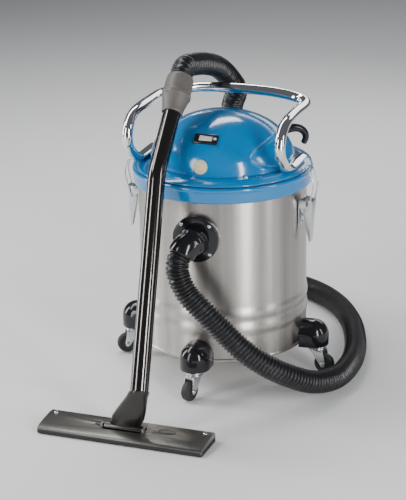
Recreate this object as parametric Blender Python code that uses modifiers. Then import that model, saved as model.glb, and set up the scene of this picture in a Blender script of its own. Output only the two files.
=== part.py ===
"""A wet and dry shop vacuum: steel drum on casters, clamped-on motor head, hose, wand and floor tool.

Metres, +Z up. The machine is modelled with its drum axis on Z and its inlet facing -Y. At the end
the root empty is shifted so that the footprint, without the hose, is centred on the origin.
"""
import math

import bmesh
import bpy
from mathutils import Matrix, Vector

MM = 0.001
GAP = 0.3 * MM  # between pieces that touch

# Drum
DRUM_R = 175 * MM
DRUM_BASE = 69 * MM  # height of its chime above the floor
DRUM_TOP = 440 * MM
DRUM_WALL = 1.5 * MM
BEADS = (170 * MM, 138 * MM)  # heights of the two rolled beads
BEAD_HALF = 13 * MM
BEAD_OUT = 2.5 * MM
BASE_FLOOR = 4 * MM  # the base is set up this far inside the chime

# Collar band and lid
COLLAR_R = 187.5 * MM
COLLAR_DROP = 29 * MM  # how far it reaches down the drum
COLLAR_LIP = 3.2 * MM
COLLAR_MOUTH_R = 168 * MM
GASKET_T = 2.2 * MM
LID_R = 185.3 * MM
LID_T = 8.7 * MM
LID_PLATE = 4 * MM
LID_MOUTH_R = 77 * MM
LID_SEAT_R = 161 * MM  # the level part of its top

# Motor dome
DOME_R = 150 * MM
DOME_H = 100 * MM
DOME_WALL = 3 * MM

# Handle
HANDLE_X = 160 * MM
HANDLE_TUBE_R = 11 * MM
TAIL_SQUEEZE = 0.5  # the flattened tail's share of the tube's radius

# Inlet
INLET_Z = 336 * MM
INLET_FLANGE_R = 48 * MM
INLET_FACE = 10.7 * MM  # how far the flange stands off the drum
INLET_BORE_R = 23 * MM
ELBOW_R = 28 * MM
ELBOW_WALL = 3 * MM

# Hose, cuff and wand
HOSE_R = 24 * MM
CUFF_LENGTH = 85 * MM
CUFF_R = 29 * MM
CUFF_END_R = 21.5 * MM
WAND_R = 18 * MM
WAND_WALL = 1.5 * MM
WAND_GRIP = 30 * MM  # length of wand inside the cuff
WAND_BEND_R = 140 * MM

# Floor tool
TOOL_X = -69 * MM
TOOL_Y = -424 * MM
TOOL_YAW = math.radians(-2.4)
TOOL_WIDTH = 345 * MM
TOOL_HALF_DEPTH = 39 * MM
TOOL_UNDER = 5 * MM
TOOL_MOUTH_TOP = 8.5 * MM
TOOL_PIVOT_X = -4 * MM  # from the tool's own middle
TOOL_PIVOT_Z = 20 * MM
TOOL_BARREL_R = 9 * MM
TOOL_BARREL_HALF = 39 * MM
TOOL_PIN_R = 2.5 * MM
TOOL_TROUGH = 13 * MM
STRIP_T = 5 * MM

# Casters
SWIVEL_R = 205 * MM  # from the drum's axis to each swivel axis
CUP_R = 31.5 * MM
CUP_CENTRE_R = 198 * MM
CUP_BOTTOM = 62 * MM
CUP_STRAIGHT = 23 * MM
STEM_R = 5 * MM
STEM_UP = 32 * MM
RACE_R = 20.5 * MM
RACE_T = 11 * MM
WHEEL_R = 21.5 * MM
WHEEL_WIDTH = 17 * MM
WHEEL_TRAIL = 17 * MM
AXLE_R = 3 * MM
FORK_PLATE = 2.2 * MM
FORK_CLEAR = 1.2 * MM

# Latches
LATCH_BEARING = math.radians(-6)  # how far round from the side, towards the front
LEVER_PIVOT_X = 187 * MM
LEVER_PIVOT_Z = 380 * MM
LEVER_TIP_Z = 297 * MM
LEVER_HALF = 12 * MM
LEVER_WALL = 1.8 * MM
LEVER_TIP_SHARE = 0.6  # the tip's width, as a share of the full width
PIVOT_PIN_R = 2.3 * MM
BAIL_PIVOT_X = 193 * MM
BAIL_PIVOT_Z = 364 * MM
BAIL_HALF = 14 * MM
EAR_HALF = 17.6 * MM
WIRE_R = 1.6 * MM

# Switch
SWITCH_UP = 68 * MM  # height of its middle above the dome's foot
BEZEL_HALF = (25 * MM, 12 * MM)
BEZEL_PROUD = 3.5 * MM
TUB_HALF = (17 * MM, 8.4 * MM)
TUB_DEPTH = 12 * MM
WELL_HALF = (15 * MM, 6.4 * MM)
ROCKER_HALF = 6 * MM
ROCKER_PIVOT = -2 * MM  # from the dome's surface

# Motor, fan and float
SHAFT_R = 4 * MM
FAN_R = 70 * MM
FAN_DROP = 14 * MM  # how far the fan can hangs below the lid plate
FAN_CAN_H = 40 * MM
FAN_WALL = 2 * MM
EYE_R = 20 * MM
MOTOR_R = 50 * MM
MOTOR_H = 62 * MM
MOTOR_WALL = 3.5 * MM
CAGE_R = 46 * MM
CAGE_H = 95 * MM
BALL_R = 25 * MM
FILTER_T = 8 * MM

# Heights that follow from the sizes above
COLLAR_TOP = DRUM_TOP + GAP + COLLAR_LIP
LID_UNDER = COLLAR_TOP + GASKET_T + 2 * GAP
LID_TOP = LID_UNDER + LID_T
DOME_FOOT = LID_TOP + GAP
MOTOR_SEAT = LID_TOP + GAP
FAN_BOTTOM = LID_TOP - FAN_DROP - LID_PLATE
FAN_TOP = FAN_BOTTOM + FAN_CAN_H

bpy.context.preferences.edit.use_global_undo = False
for old in list(bpy.data.objects):
    bpy.data.objects.remove(old, do_unlink=True)

PARTS = bpy.data.collections.new("shop_vacuum")
CUTTERS = bpy.data.collections.new("cutters")
for group in (PARTS, CUTTERS):
    bpy.context.scene.collection.children.link(group)
CUTTERS.hide_render = True

ROOT = bpy.data.objects.new("vacuum_root", None)
PARTS.objects.link(ROOT)


def finish(name, colour, roughness, metallic=0.0):
    """A Principled material."""
    made = bpy.data.materials.new(name)
    made.use_nodes = True
    shader = made.node_tree.nodes["Principled BSDF"]
    shader.inputs["Base Color"].default_value = (*colour, 1)
    shader.inputs["Roughness"].default_value = roughness
    shader.inputs["Metallic"].default_value = metallic
    return made


def place(obj, colour, roughness, metallic=0.0, parent=None):
    """Puts a finished object in the parts collection, with a material of its own."""
    for group in list(obj.users_collection):
        group.objects.unlink(obj)
    PARTS.objects.link(obj)
    obj.data.materials.clear()
    obj.data.materials.append(finish(obj.name, colour, roughness, metallic))
    obj.parent = parent or ROOT
    return obj


def cutter(obj):
    """Puts a helper object in the cutters collection."""
    for group in list(obj.users_collection):
        group.objects.unlink(obj)
    CUTTERS.objects.link(obj)
    obj.hide_render = True
    obj.display_type = "WIRE"
    return obj


def fixed(obj):
    """Replaces an object by a plain mesh of what its modifiers and curve settings make."""
    bpy.context.view_layer.update()
    graph = bpy.context.evaluated_depsgraph_get()
    mesh = bpy.data.meshes.new_from_object(obj.evaluated_get(graph))
    made = bpy.data.objects.new(obj.name, mesh)
    made.matrix_world = obj.matrix_world.copy()
    name = obj.name
    for group in obj.users_collection:
        group.objects.link(made)
    bpy.data.objects.remove(obj, do_unlink=True)
    made.name = name
    shape = bmesh.new()
    shape.from_mesh(mesh)
    bmesh.ops.remove_doubles(shape, verts=shape.verts, dist=0.00001)
    shape.to_mesh(mesh)
    shape.free()
    return made


def linked(name, data):
    made = bpy.data.objects.new(name, data)
    bpy.context.scene.collection.objects.link(made)
    return made


def turned(name, profile, steps=32, closed=True):
    """A solid turned about Z. A closed profile goes down its outer side. An open one ends on the axis."""
    mesh = bpy.data.meshes.new(name)
    shape = bmesh.new()
    points = [shape.verts.new((radius, 0, height)) for radius, height in profile]
    for first, second in zip(points, points[1:]):
        shape.edges.new((first, second))
    if closed:
        shape.edges.new((points[-1], points[0]))
    shape.to_mesh(mesh)
    shape.free()
    made = linked(name, mesh)
    screw = made.modifiers.new("turn", "SCREW")
    screw.steps = steps
    screw.render_steps = steps
    screw.use_merge_vertices = True
    screw.merge_threshold = 0.00005
    return fixed(made)


def tube(name, points, radius, sides=2, cyclic=False, radii=None):
    """A rod through the points, with flat ends."""
    curve = bpy.data.curves.new(name, "CURVE")
    curve.dimensions = "3D"
    curve.bevel_depth = radius
    curve.bevel_resolution = sides
    curve.use_fill_caps = True
    line = curve.splines.new("POLY")
    line.points.add(len(points) - 1)
    for number, (knot, at) in enumerate(zip(line.points, points)):
        knot.co = (*at, 1)
        knot.radius = radii[number] if radii else 1
    line.use_cyclic_u = cyclic
    return fixed(linked(name, curve))


def plate(name, outline, thickness):
    """A flat plate in the XY plane, centred on Z = 0."""
    curve = bpy.data.curves.new(name, "CURVE")
    curve.dimensions = "2D"
    curve.fill_mode = "BOTH"
    curve.extrude = thickness / 2
    line = curve.splines.new("POLY")
    line.points.add(len(outline) - 1)
    for knot, (across, along) in zip(line.points, outline):
        knot.co = (across, along, 0, 1)
    line.use_cyclic_u = True
    return fixed(linked(name, curve))


def block(name, low, high, bevel=0.0, segments=2):
    """A box between two corners, with its edges rounded if a bevel is given."""
    shape = bmesh.new()
    bmesh.ops.create_cube(shape, size=1)
    size = Vector(high) - Vector(low)
    middle = (Vector(high) + Vector(low)) / 2
    stretch = Matrix.Translation(middle) @ Matrix.Diagonal((*size, 1))
    bmesh.ops.transform(shape, matrix=stretch, verts=shape.verts)
    mesh = bpy.data.meshes.new(name)
    shape.to_mesh(mesh)
    shape.free()
    made = linked(name, mesh)
    if bevel:
        rounding = made.modifiers.new("edges", "BEVEL")
        rounding.width = bevel
        rounding.segments = segments
        made = fixed(made)
    return made


def rod(name, start, end, radius, sides=20):
    """A plain cylinder from one point to another."""
    start = Vector(start)
    along = Vector(end) - start
    shape = bmesh.new()
    bmesh.ops.create_cone(
        shape, cap_ends=True, segments=sides, radius1=radius, radius2=radius, depth=along.length
    )
    turn = along.to_track_quat("Z", "Y").to_matrix().to_4x4()
    bmesh.ops.transform(shape, matrix=Matrix.Translation(start + along / 2) @ turn, verts=shape.verts)
    mesh = bpy.data.meshes.new(name)
    shape.to_mesh(mesh)
    shape.free()
    return linked(name, mesh)


def combine(obj, other, operation):
    """Joins another solid to this one, or cuts it out, and keeps the other as a cutter."""
    if other.name not in CUTTERS.objects:
        cutter(other)
    change = obj.modifiers.new(operation.lower(), "BOOLEAN")
    change.operation = operation
    change.object = other
    return fixed(obj)


def stood(obj, matrix):
    """Moves an object's mesh by a matrix, and leaves the object at the origin."""
    obj.data.transform(matrix @ obj.matrix_world)
    obj.matrix_world = Matrix.Identity(4)
    if matrix.determinant() < 0:
        obj.data.flip_normals()
    return obj


def smooth_route(points, spacing):
    """Evenly spaced points on a smooth curve through the given ones."""
    knots = [Vector(point) for point in points]
    knots = [2 * knots[0] - knots[1], *knots, 2 * knots[-1] - knots[-2]]
    fine = []
    for a, b, c, d in zip(knots, knots[1:], knots[2:], knots[3:]):
        first, second, third = ((q - p).length ** 0.5 for p, q in ((a, b), (b, c), (c, d)))
        leave = (b - a) / first - (c - a) / (first + second) + (c - b) / second
        arrive = (c - b) / second - (d - b) / (second + third) + (d - c) / third
        for step in range(24):
            t = step / 24
            square, cube = t * t, t * t * t
            fine.append(
                (2 * cube - 3 * square + 1) * b
                + (cube - 2 * square + t) * second * leave
                + (3 * square - 2 * cube) * c
                + (cube - square) * second * arrive
            )
    fine.append(knots[-2])
    total = sum((q - p).length for p, q in zip(fine, fine[1:]))
    count = round(total / spacing)
    even, done, index = [fine[0]], 0.0, 0
    for number in range(1, count):
        target = total * number / count
        while done + (fine[index + 1] - fine[index]).length < target:
            done += (fine[index + 1] - fine[index]).length
            index += 1
        step = fine[index + 1] - fine[index]
        even.append(fine[index] + step * ((target - done) / step.length))
    return [*even, fine[-1]]


STEEL = ((0.62, 0.6, 0.57), 0.28, 1.0)
ZINC = ((0.7, 0.73, 0.76), 0.3, 1.0)
CHROME = ((0.8, 0.8, 0.8), 0.08, 1.0)
DARK_CHROME = ((0.28, 0.27, 0.26), 0.12, 1.0)
BLUE = ((0.0, 0.1, 0.36), 0.22)
BLACK = ((0.012, 0.012, 0.014), 0.3)
RUBBER = ((0.02, 0.02, 0.02), 0.75)
GREY = ((0.24, 0.22, 0.2), 0.55)
COPPER = ((0.55, 0.25, 0.12), 0.4, 0.9)


def drum_outside(start, end):
    """Points down the drum's wall between two heights, out over each bead."""
    points = [(DRUM_R, start)]
    for bead in BEADS:
        for share in (1, 0.5, 0, -0.5, -1):
            out = BEAD_OUT * (1 - share * share)
            points.append((DRUM_R + out, bead + share * BEAD_HALF))
    points.append((DRUM_R, end))
    return points


def drum():
    outside = drum_outside(DRUM_TOP, DRUM_BASE + 3 * MM)
    inside = [(radius - DRUM_WALL, height) for radius, height in outside]
    inside[-1] = (DRUM_R - DRUM_WALL, DRUM_BASE + BASE_FLOOR + DRUM_WALL + 2 * MM)
    under = DRUM_BASE + BASE_FLOOR
    profile = [(0, under + DRUM_WALL), (DRUM_R - 4 * MM, under + DRUM_WALL), *reversed(inside), *outside]
    profile += [(DRUM_R - 2 * MM, DRUM_BASE), (DRUM_R - 7 * MM, DRUM_BASE)]
    profile += [(DRUM_R - 8 * MM, under), (0, under)]
    shell = turned("drum", profile, 48, closed=False)
    ends = [(0, -DRUM_R + reach * MM, INLET_Z) for reach in (-9, 12)]
    hole = rod("inlet_hole", *ends, INLET_BORE_R + 5 * MM)
    place(combine(shell, hole, "DIFFERENCE"), *STEEL)


def collar():
    bottom = DRUM_TOP - COLLAR_DROP
    profile = [
        (COLLAR_R - 3.5 * MM, COLLAR_TOP),
        (COLLAR_R, COLLAR_TOP - 3 * MM),
        (COLLAR_R, COLLAR_TOP - 8 * MM),
        (COLLAR_R - 1.2 * MM, COLLAR_TOP - 10 * MM),
        (COLLAR_R - 1.2 * MM, bottom + 2 * MM),
        (COLLAR_R - 3 * MM, bottom),
        (DRUM_R + GAP, bottom),
        (DRUM_R + GAP, DRUM_TOP + GAP),
        (COLLAR_MOUTH_R, DRUM_TOP + GAP),
        (COLLAR_MOUTH_R, COLLAR_TOP),
    ]
    place(turned("drum_collar", profile, 48), *BLUE)


def lid():
    low = COLLAR_TOP + GAP
    seal = [(182 * MM, low + GASKET_T), (182 * MM, low), (170 * MM, low), (170 * MM, low + GASKET_T)]
    place(turned("lid_gasket", seal, 48), *RUBBER)
    profile = [
        (LID_MOUTH_R, LID_TOP),
        (LID_SEAT_R, LID_TOP),
        (172 * MM, LID_TOP - 1.5 * MM),
        (181 * MM, LID_TOP - 4.5 * MM),
        (LID_R - 0.3 * MM, LID_UNDER + 2 * MM),
        (LID_R, LID_UNDER),
        (COLLAR_MOUTH_R, LID_UNDER),
        (COLLAR_MOUTH_R - 1 * MM, LID_TOP - LID_PLATE),
        (LID_MOUTH_R, LID_TOP - LID_PLATE),
    ]
    place(turned("lid", profile, 48), *BLUE)


def arch(radius, height, steps=9):
    """Points down half an ellipse, from the crown to the foot."""
    turns = [math.pi / 2 * number / steps for number in range(steps + 1)]
    return [(radius * math.sin(turn), DOME_FOOT + height * math.cos(turn)) for turn in turns]


def dome_bulk(name, extra):
    """The dome as a solid, this much larger all round, to cut what seats on it."""
    outside = arch(DOME_R + extra, DOME_H + extra)
    return cutter(turned(name, [*outside, (0, DOME_FOOT)], 48, closed=False))


def on_dome(height):
    """The dome's outside radius at this height above its foot."""
    return DOME_R * math.sqrt(1 - (height / DOME_H) ** 2)


def on_switch():
    """From the switch's own axes, with X across, Y up the dome and Z out of it, to the machine's."""
    radius = on_dome(SWITCH_UP)
    out = Vector((0, -radius / DOME_R**2, SWITCH_UP / DOME_H**2)).normalized()
    across = Vector((1, 0, 0))
    turned_axes = Matrix((across, out.cross(across), out)).transposed().to_4x4()
    return Matrix.Translation((0, -radius, DOME_FOOT + SWITCH_UP)) @ turned_axes


def dome():
    inside = arch(DOME_R - DOME_WALL, DOME_H - DOME_WALL)
    shell = turned("motor_dome", [*arch(DOME_R, DOME_H), *reversed(inside)], 48, closed=False)
    half = [side + GAP for side in TUB_HALF]
    hole = block("switch_hole", (-half[0], -half[1], -20 * MM), (half[0], half[1], 20 * MM))
    place(combine(shell, stood(hole, on_switch()), "DIFFERENCE"), *BLUE)


def seal():
    """A blank round seal stuck on the dome under the switch."""
    low = DOME_FOOT + 20 * MM
    disc = rod("seal_disc", (0, -DOME_R - 9 * MM, low), (0, -DOME_R + 14 * MM, low), 15 * MM, 24)
    disc = combine(disc, dome_bulk("seal_front", 1.2 * MM), "INTERSECT")
    disc = combine(disc, dome_bulk("seal_seat", GAP), "DIFFERENCE")
    place(disc, (0.75, 0.68, 0.45), 0.5)


def handle():
    """A bent tube: on each side a tail on the lid, a bulging leg and an arm, joined by the rear crossbar."""
    tail = LID_TOP + HANDLE_TUBE_R * TAIL_SQUEEZE + 2 * GAP
    side = [
        (HANDLE_X, 32 * MM, tail, TAIL_SQUEEZE),
        (HANDLE_X, -50 * MM, tail, TAIL_SQUEEZE),
        (HANDLE_X, -72 * MM, tail + 3 * MM, 0.7),
        (HANDLE_X, -92 * MM, tail + 12 * MM, 1),
        (HANDLE_X, -112 * MM, tail + 27 * MM, 1),
        (HANDLE_X, -127 * MM, tail + 45 * MM, 1),
        (HANDLE_X, -130 * MM, tail + 64 * MM, 1),
        (HANDLE_X, -122 * MM, tail + 82 * MM, 1),
        (HANDLE_X, -104 * MM, tail + 96 * MM, 1),
        (HANDLE_X, -82 * MM, tail + 102 * MM, 1),
        (HANDLE_X, -40 * MM, tail + 104 * MM, 1),
        (HANDLE_X, 60 * MM, tail + 102 * MM, 1),
        (HANDLE_X - 5 * MM, 82 * MM, tail + 102 * MM, 1),
        (HANDLE_X - 17 * MM, 96 * MM, tail + 104 * MM, 1),
        (HANDLE_X - 35 * MM, 102 * MM, tail + 107 * MM, 1),
        (HANDLE_X - 80 * MM, 102 * MM, tail + 114 * MM, 1),
    ]
    whole = side + [(0, 102 * MM, tail + 117 * MM, 1)]
    whole += [(-x, y, z, size) for x, y, z, size in reversed(side)]
    middle = [point[:3] for point in whole]
    bar = tube("handle", middle, HANDLE_TUBE_R, 3, radii=[point[3] for point in whole])
    place(bar, *CHROME)


def cord_hooks():
    """A horn on each rear quarter of the dome, where the mains lead is wound for storage."""
    seat = dome_bulk("hook_seat", GAP)
    for side, name in ((1, "cord_hook_right"), (-1, "cord_hook_left")):
        out = Vector((side * math.cos(math.radians(40)), math.sin(math.radians(40)), 0))
        route = ((128, 40), (146, 44), (163, 45), (178, 41), (188, 31), (190, 20), (186, 11))
        points = [out * radius * MM + Vector((0, 0, DOME_FOOT + height * MM)) for radius, height in route]
        horn = tube(name, points, 7 * MM, 2, radii=(1.15, 1.1, 1, 0.9, 0.8, 0.75, 0.7))
        place(combine(horn, seat, "DIFFERENCE"), *BLACK)


def switch():
    """A rocker in a framed tub let into the dome's front."""
    low = (-BEZEL_HALF[0], -BEZEL_HALF[1], -8 * MM)
    case = block("switch_bezel", low, (*BEZEL_HALF, BEZEL_PROUD), 2.5 * MM)
    case = combine(stood(case, on_switch()), dome_bulk("bezel_seat", GAP), "DIFFERENCE")
    tub = block("bezel_tub", (-TUB_HALF[0], -TUB_HALF[1], -TUB_DEPTH), (*TUB_HALF, BEZEL_PROUD - 0.5 * MM))
    well = block("bezel_well", (-WELL_HALF[0], -WELL_HALF[1], 2 * MM - TUB_DEPTH), (*WELL_HALF, 20 * MM))
    case = combine(case, stood(tub, on_switch()), "UNION")
    place(combine(case, stood(well, on_switch()), "DIFFERENCE"), *BLACK)
    outline = [(-13.4, -3), (13.4, -3), (13.9, 4.3), (0, 5.3), (-12.5, 7.6)]
    rocker = plate("power_switch", [(x * MM, z * MM) for x, z in outline], 2 * ROCKER_HALF)
    upright = Matrix(((1, 0, 0, 0), (0, 0, -1, 0), (0, 1, 0, 0), (0, 0, 0, 1)))
    rocker = stood(rocker, upright)
    place(rocker, (0.75, 0.74, 0.7), 0.3)
    rocker.matrix_world = on_switch() @ Matrix.Translation((0, 0, ROCKER_PIVOT))


def gland():
    """The tapered strain relief of the mains lead, on the dome's back."""
    height = 30 * MM
    back = on_dome(height)
    profile = [(0, 42 * MM), (4.6 * MM, 42 * MM), (7 * MM, 12 * MM), (7 * MM, -6 * MM), (0, -6 * MM)]
    relief = turned("cord_gland", profile, 16, closed=False)
    turn = Matrix.Translation((-60 * MM, back * 0.9, DOME_FOOT + height))
    turn = turn @ Matrix.Rotation(-math.pi / 2, 4, "X") @ Matrix.Rotation(0.35, 4, "Y")
    relief = stood(relief, turn)
    place(combine(relief, dome_bulk("gland_seat", GAP), "DIFFERENCE"), *RUBBER)


def motor():
    """Fan can, impeller, end plate, motor case, field, armature and its two bearings, on one axis."""
    can = [
        (FAN_R, MOTOR_SEAT + 3 * MM + GAP),
        (FAN_R + 18 * MM, MOTOR_SEAT + 3 * MM + GAP),
        (FAN_R + 18 * MM, MOTOR_SEAT + 6 * MM),
        (FAN_R, MOTOR_SEAT + 6 * MM),
    ]
    wall = FAN_WALL
    can = [
        (EYE_R, FAN_BOTTOM + wall),
        (FAN_R - wall, FAN_BOTTOM + wall),
        (FAN_R - wall, FAN_TOP),
        (FAN_R, FAN_TOP),
        (FAN_R, can[2][1]),
        can[2],
        can[1],
        (FAN_R, can[1][1]),
        (FAN_R, FAN_BOTTOM),
        (EYE_R, FAN_BOTTOM),
    ]
    place(turned("fan_housing", can), (0.7, 0.7, 0.7), 0.35, 1.0)
    ring = [
        (FAN_R + 17 * MM, MOTOR_SEAT + 3 * MM),
        (FAN_R + 17 * MM, MOTOR_SEAT),
        (LID_MOUTH_R + 1 * MM, MOTOR_SEAT),
        (LID_MOUTH_R + 1 * MM, MOTOR_SEAT + 3 * MM),
    ]
    place(turned("motor_gasket", ring), *RUBBER)
    plate_low = FAN_TOP + GAP
    seat_r = 11 * MM + GAP
    end_plate = [
        (seat_r, plate_low + 9 * MM),
        (seat_r + 4 * MM, plate_low + 9 * MM),
        (seat_r + 4 * MM, plate_low + 3 * MM),
        (FAN_R, plate_low + 3 * MM),
        (FAN_R, plate_low),
        (SHAFT_R + 1 * MM, plate_low),
        (SHAFT_R + 1 * MM, plate_low + 1.5 * MM),
        (seat_r, plate_low + 1.5 * MM),
    ]
    place(turned("motor_plate", end_plate), (0.7, 0.7, 0.7), 0.35, 1.0)
    case_low = plate_low + 3 * MM + GAP
    case_top = case_low + MOTOR_H
    upper_r = 9 * MM + GAP
    case = [
        (upper_r, case_top),
        (MOTOR_R, case_top),
        (MOTOR_R, case_low),
        (MOTOR_R - MOTOR_WALL, case_low),
        (MOTOR_R - MOTOR_WALL, case_top - 7 * MM - GAP),
        (upper_r, case_top - 7 * MM - GAP),
    ]
    place(turned("motor_housing", case), *BLACK)
    field = [
        (MOTOR_R - MOTOR_WALL - GAP, case_low + 42 * MM),
        (MOTOR_R - MOTOR_WALL - GAP, case_low + 12 * MM),
        (31 * MM, case_low + 12 * MM),
        (31 * MM, case_low + 42 * MM),
    ]
    place(turned("stator", field), *COPPER)
    for name, outer, low, high in (
        ("bearing_lower", 11 * MM, plate_low + 1.5 * MM + GAP, plate_low + 8.5 * MM),
        ("bearing_upper", 9 * MM, case_top - 7 * MM, case_top - 1 * MM),
    ):
        inner = SHAFT_R + GAP
        race = [(outer, high), (outer, low), (inner, low), (inner, high)]
        place(turned(name, race, 24), (0.6, 0.6, 0.62), 0.25, 1.0)
    disc = FAN_TOP - 9 * MM
    spindle = [
        (0, case_top + 4 * MM),
        (SHAFT_R, case_top + 4 * MM),
        (SHAFT_R, case_top - 9 * MM),
        (13 * MM, case_top - 9 * MM),
        (13 * MM, case_top - 18 * MM),
        (SHAFT_R, case_top - 18 * MM),
        (SHAFT_R, case_low + 41 * MM),
        (30 * MM, case_low + 41 * MM),
        (30 * MM, case_low + 13 * MM),
        (SHAFT_R, case_low + 13 * MM),
        (SHAFT_R, FAN_BOTTOM + 12 * MM),
        (0, FAN_BOTTOM + 12 * MM),
    ]
    place(turned("armature", spindle, 24, closed=False), *COPPER)
    blades, reach, hub = 7, FAN_R - 8 * MM, 11 * MM
    outline = []
    for number in range(blades):
        for lag, radius in ((0, hub), (0.28, reach), (0.33, reach), (0.13, hub)):
            turn = 2 * math.pi * (number + lag) / blades
            outline.append((radius * math.cos(turn), radius * math.sin(turn)))
    star = plate("impeller", outline, 20 * MM)
    stood(star, Matrix.Translation((0, 0, disc - 10 * MM)))
    round_plate = [(0, disc + 2 * MM), (reach, disc + 2 * MM), (reach, disc - 1 * MM), (0, disc - 1 * MM)]
    back = cutter(turned("impeller_disc", round_plate, 28, closed=False))
    star = combine(star, back, "UNION")
    bore = rod("impeller_bore", (0, 0, disc - 30 * MM), (0, 0, disc + 10 * MM), SHAFT_R + GAP, 24)
    place(combine(star, bore, "DIFFERENCE"), (0.75, 0.75, 0.77), 0.4, 1.0)


def float_valve():
    """The slotted cage under the fan's eye, the ball that rises in it, and the foam filter round it."""
    top = FAN_BOTTOM - GAP
    bottom = top - CAGE_H
    wall = 2.5 * MM
    cage = [
        (CAGE_R - wall, top),
        (CAGE_R + 18 * MM, top),
        (CAGE_R + 18 * MM, top - 3 * MM),
        (CAGE_R, top - 3 * MM),
        (CAGE_R, bottom),
        (0, bottom),
        (0, bottom + wall),
        (CAGE_R - wall, bottom + wall),
    ]
    shell = turned("float_cage", cage[6:] + cage[:6], 32, closed=False)
    for number in range(3):
        slot = block("cage_slot", (-70 * MM, -13 * MM, bottom + 14 * MM), (70 * MM, 13 * MM, top - 16 * MM))
        slot.rotation_euler.z = math.radians(60 * number)
        shell = combine(shell, slot, "DIFFERENCE")
    place(shell, *BLACK)
    bpy.ops.mesh.primitive_uv_sphere_add(segments=20, ring_count=12, radius=BALL_R)
    ball = bpy.context.object
    ball.name = "float_ball"
    ball.location.z = bottom + wall + BALL_R + GAP
    place(ball, (0.75, 0.3, 0.05), 0.4)
    foam = [
        (CAGE_R + GAP + FILTER_T, top - 3 * MM - GAP),
        (CAGE_R + GAP + FILTER_T, bottom + 2 * MM),
        (CAGE_R + GAP, bottom + 2 * MM),
        (CAGE_R + GAP, top - 3 * MM - GAP),
    ]
    place(turned("filter_sleeve", foam), (0.08, 0.08, 0.09), 0.95)


def inlet():
    """The flange saddled on the drum's front, and the elbow that turns the hose down."""
    face = -DRUM_R - INLET_FACE
    flange = rod("inlet_flange", (0, face, INLET_Z), (0, face + 28 * MM, INLET_Z), INLET_FLANGE_R, 32)
    bore = rod("flange_bore", (0, face - 5 * MM, INLET_Z), (0, face + 40 * MM, INLET_Z), INLET_BORE_R, 24)
    room = DRUM_R + GAP
    high, low = INLET_Z + 84 * MM, INLET_Z - 96 * MM
    bulk = [(0, high), (room, high), (room, low), (0, low)]
    wall = cutter(turned("drum_bulk", bulk, 96, closed=False))
    flange = combine(combine(flange, bore, "DIFFERENCE"), wall, "DIFFERENCE")
    place(flange, *BLACK)
    curve = bpy.data.curves.new("inlet_elbow", "CURVE")
    curve.dimensions = "3D"
    curve.bevel_depth = ELBOW_R - ELBOW_WALL / 2
    curve.bevel_resolution = 4
    line = curve.splines.new("POLY")
    line.points.add(len(ELBOW) - 1)
    for knot, at in zip(line.points, ELBOW):
        knot.co = (*at, 1)
    elbow = linked("inlet_elbow", curve)
    skin = elbow.modifiers.new("wall", "SOLIDIFY")
    skin.thickness = ELBOW_WALL
    skin.offset = 0
    place(fixed(elbow), *BLACK)


def hose():
    """The suction hose, from the elbow's mouth round the machine's right and back and over to the cuff."""
    even = smooth_route(HOSE, 40 * MM)
    route = [HOSE[0], HOSE[1], *even[1:-1], HOSE[-2], HOSE[-1]]
    place(tube("hose", route, HOSE_R, 2), *BLACK)
    along = CUFF_AXIS.to_track_quat("Z", "Y").to_matrix().to_4x4()
    inner = WAND_R + GAP
    profile = [
        (inner, 0),
        (inner, WAND_GRIP + 1 * MM),
        (WAND_R - 3 * MM, WAND_GRIP + 1 * MM),
        (WAND_R - 3 * MM, CUFF_LENGTH),
        (CUFF_R - 3 * MM, CUFF_LENGTH),
        (CUFF_R, CUFF_LENGTH - 14 * MM),
        (CUFF_R, CUFF_LENGTH - 34 * MM),
        (CUFF_R - 3 * MM, CUFF_LENGTH - 44 * MM),
        (CUFF_END_R, 12 * MM),
        (CUFF_END_R, 0),
    ]
    cuff = turned("hose_cuff", profile, 24)
    place(stood(cuff, Matrix.Translation(WAND_TOP) @ along), *GREY)


def wand():
    """A straight tube with one bend near its top, leaning back on the machine."""
    into = (WAND_BEND - WAND_FOOT).normalized()
    set_back = WAND_BEND_R * math.tan(into.angle(CUFF_AXIS) / 2)
    first, last = WAND_BEND - into * set_back, WAND_BEND + CUFF_AXIS * set_back
    arc = [first.lerp(WAND_BEND, t).lerp(WAND_BEND.lerp(last, t), t) for t in (0, 0.25, 0.5, 0.75, 1)]
    curve = bpy.data.curves.new("wand", "CURVE")
    curve.dimensions = "3D"
    curve.bevel_depth = WAND_R - WAND_WALL / 2
    curve.bevel_resolution = 4
    points = [WAND_FOOT, *arc, WAND_TOP + CUFF_AXIS * WAND_GRIP]
    line = curve.splines.new("POLY")
    line.points.add(len(points) - 1)
    for knot, at in zip(line.points, points):
        knot.co = (*at, 1)
    pipe = linked("wand", curve)
    skin = pipe.modifiers.new("wall", "SOLIDIFY")
    skin.thickness = WAND_WALL
    skin.offset = 0
    place(fixed(pipe), *DARK_CHROME)


def ring_of(centre, across, up, half_width, half_depth, count=20):
    """Points on an ellipse about a centre."""
    turns = [2 * math.pi * number / count for number in range(count)]
    return [centre + across * half_width * math.cos(t) + up * half_depth * math.sin(t) for t in turns]


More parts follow.
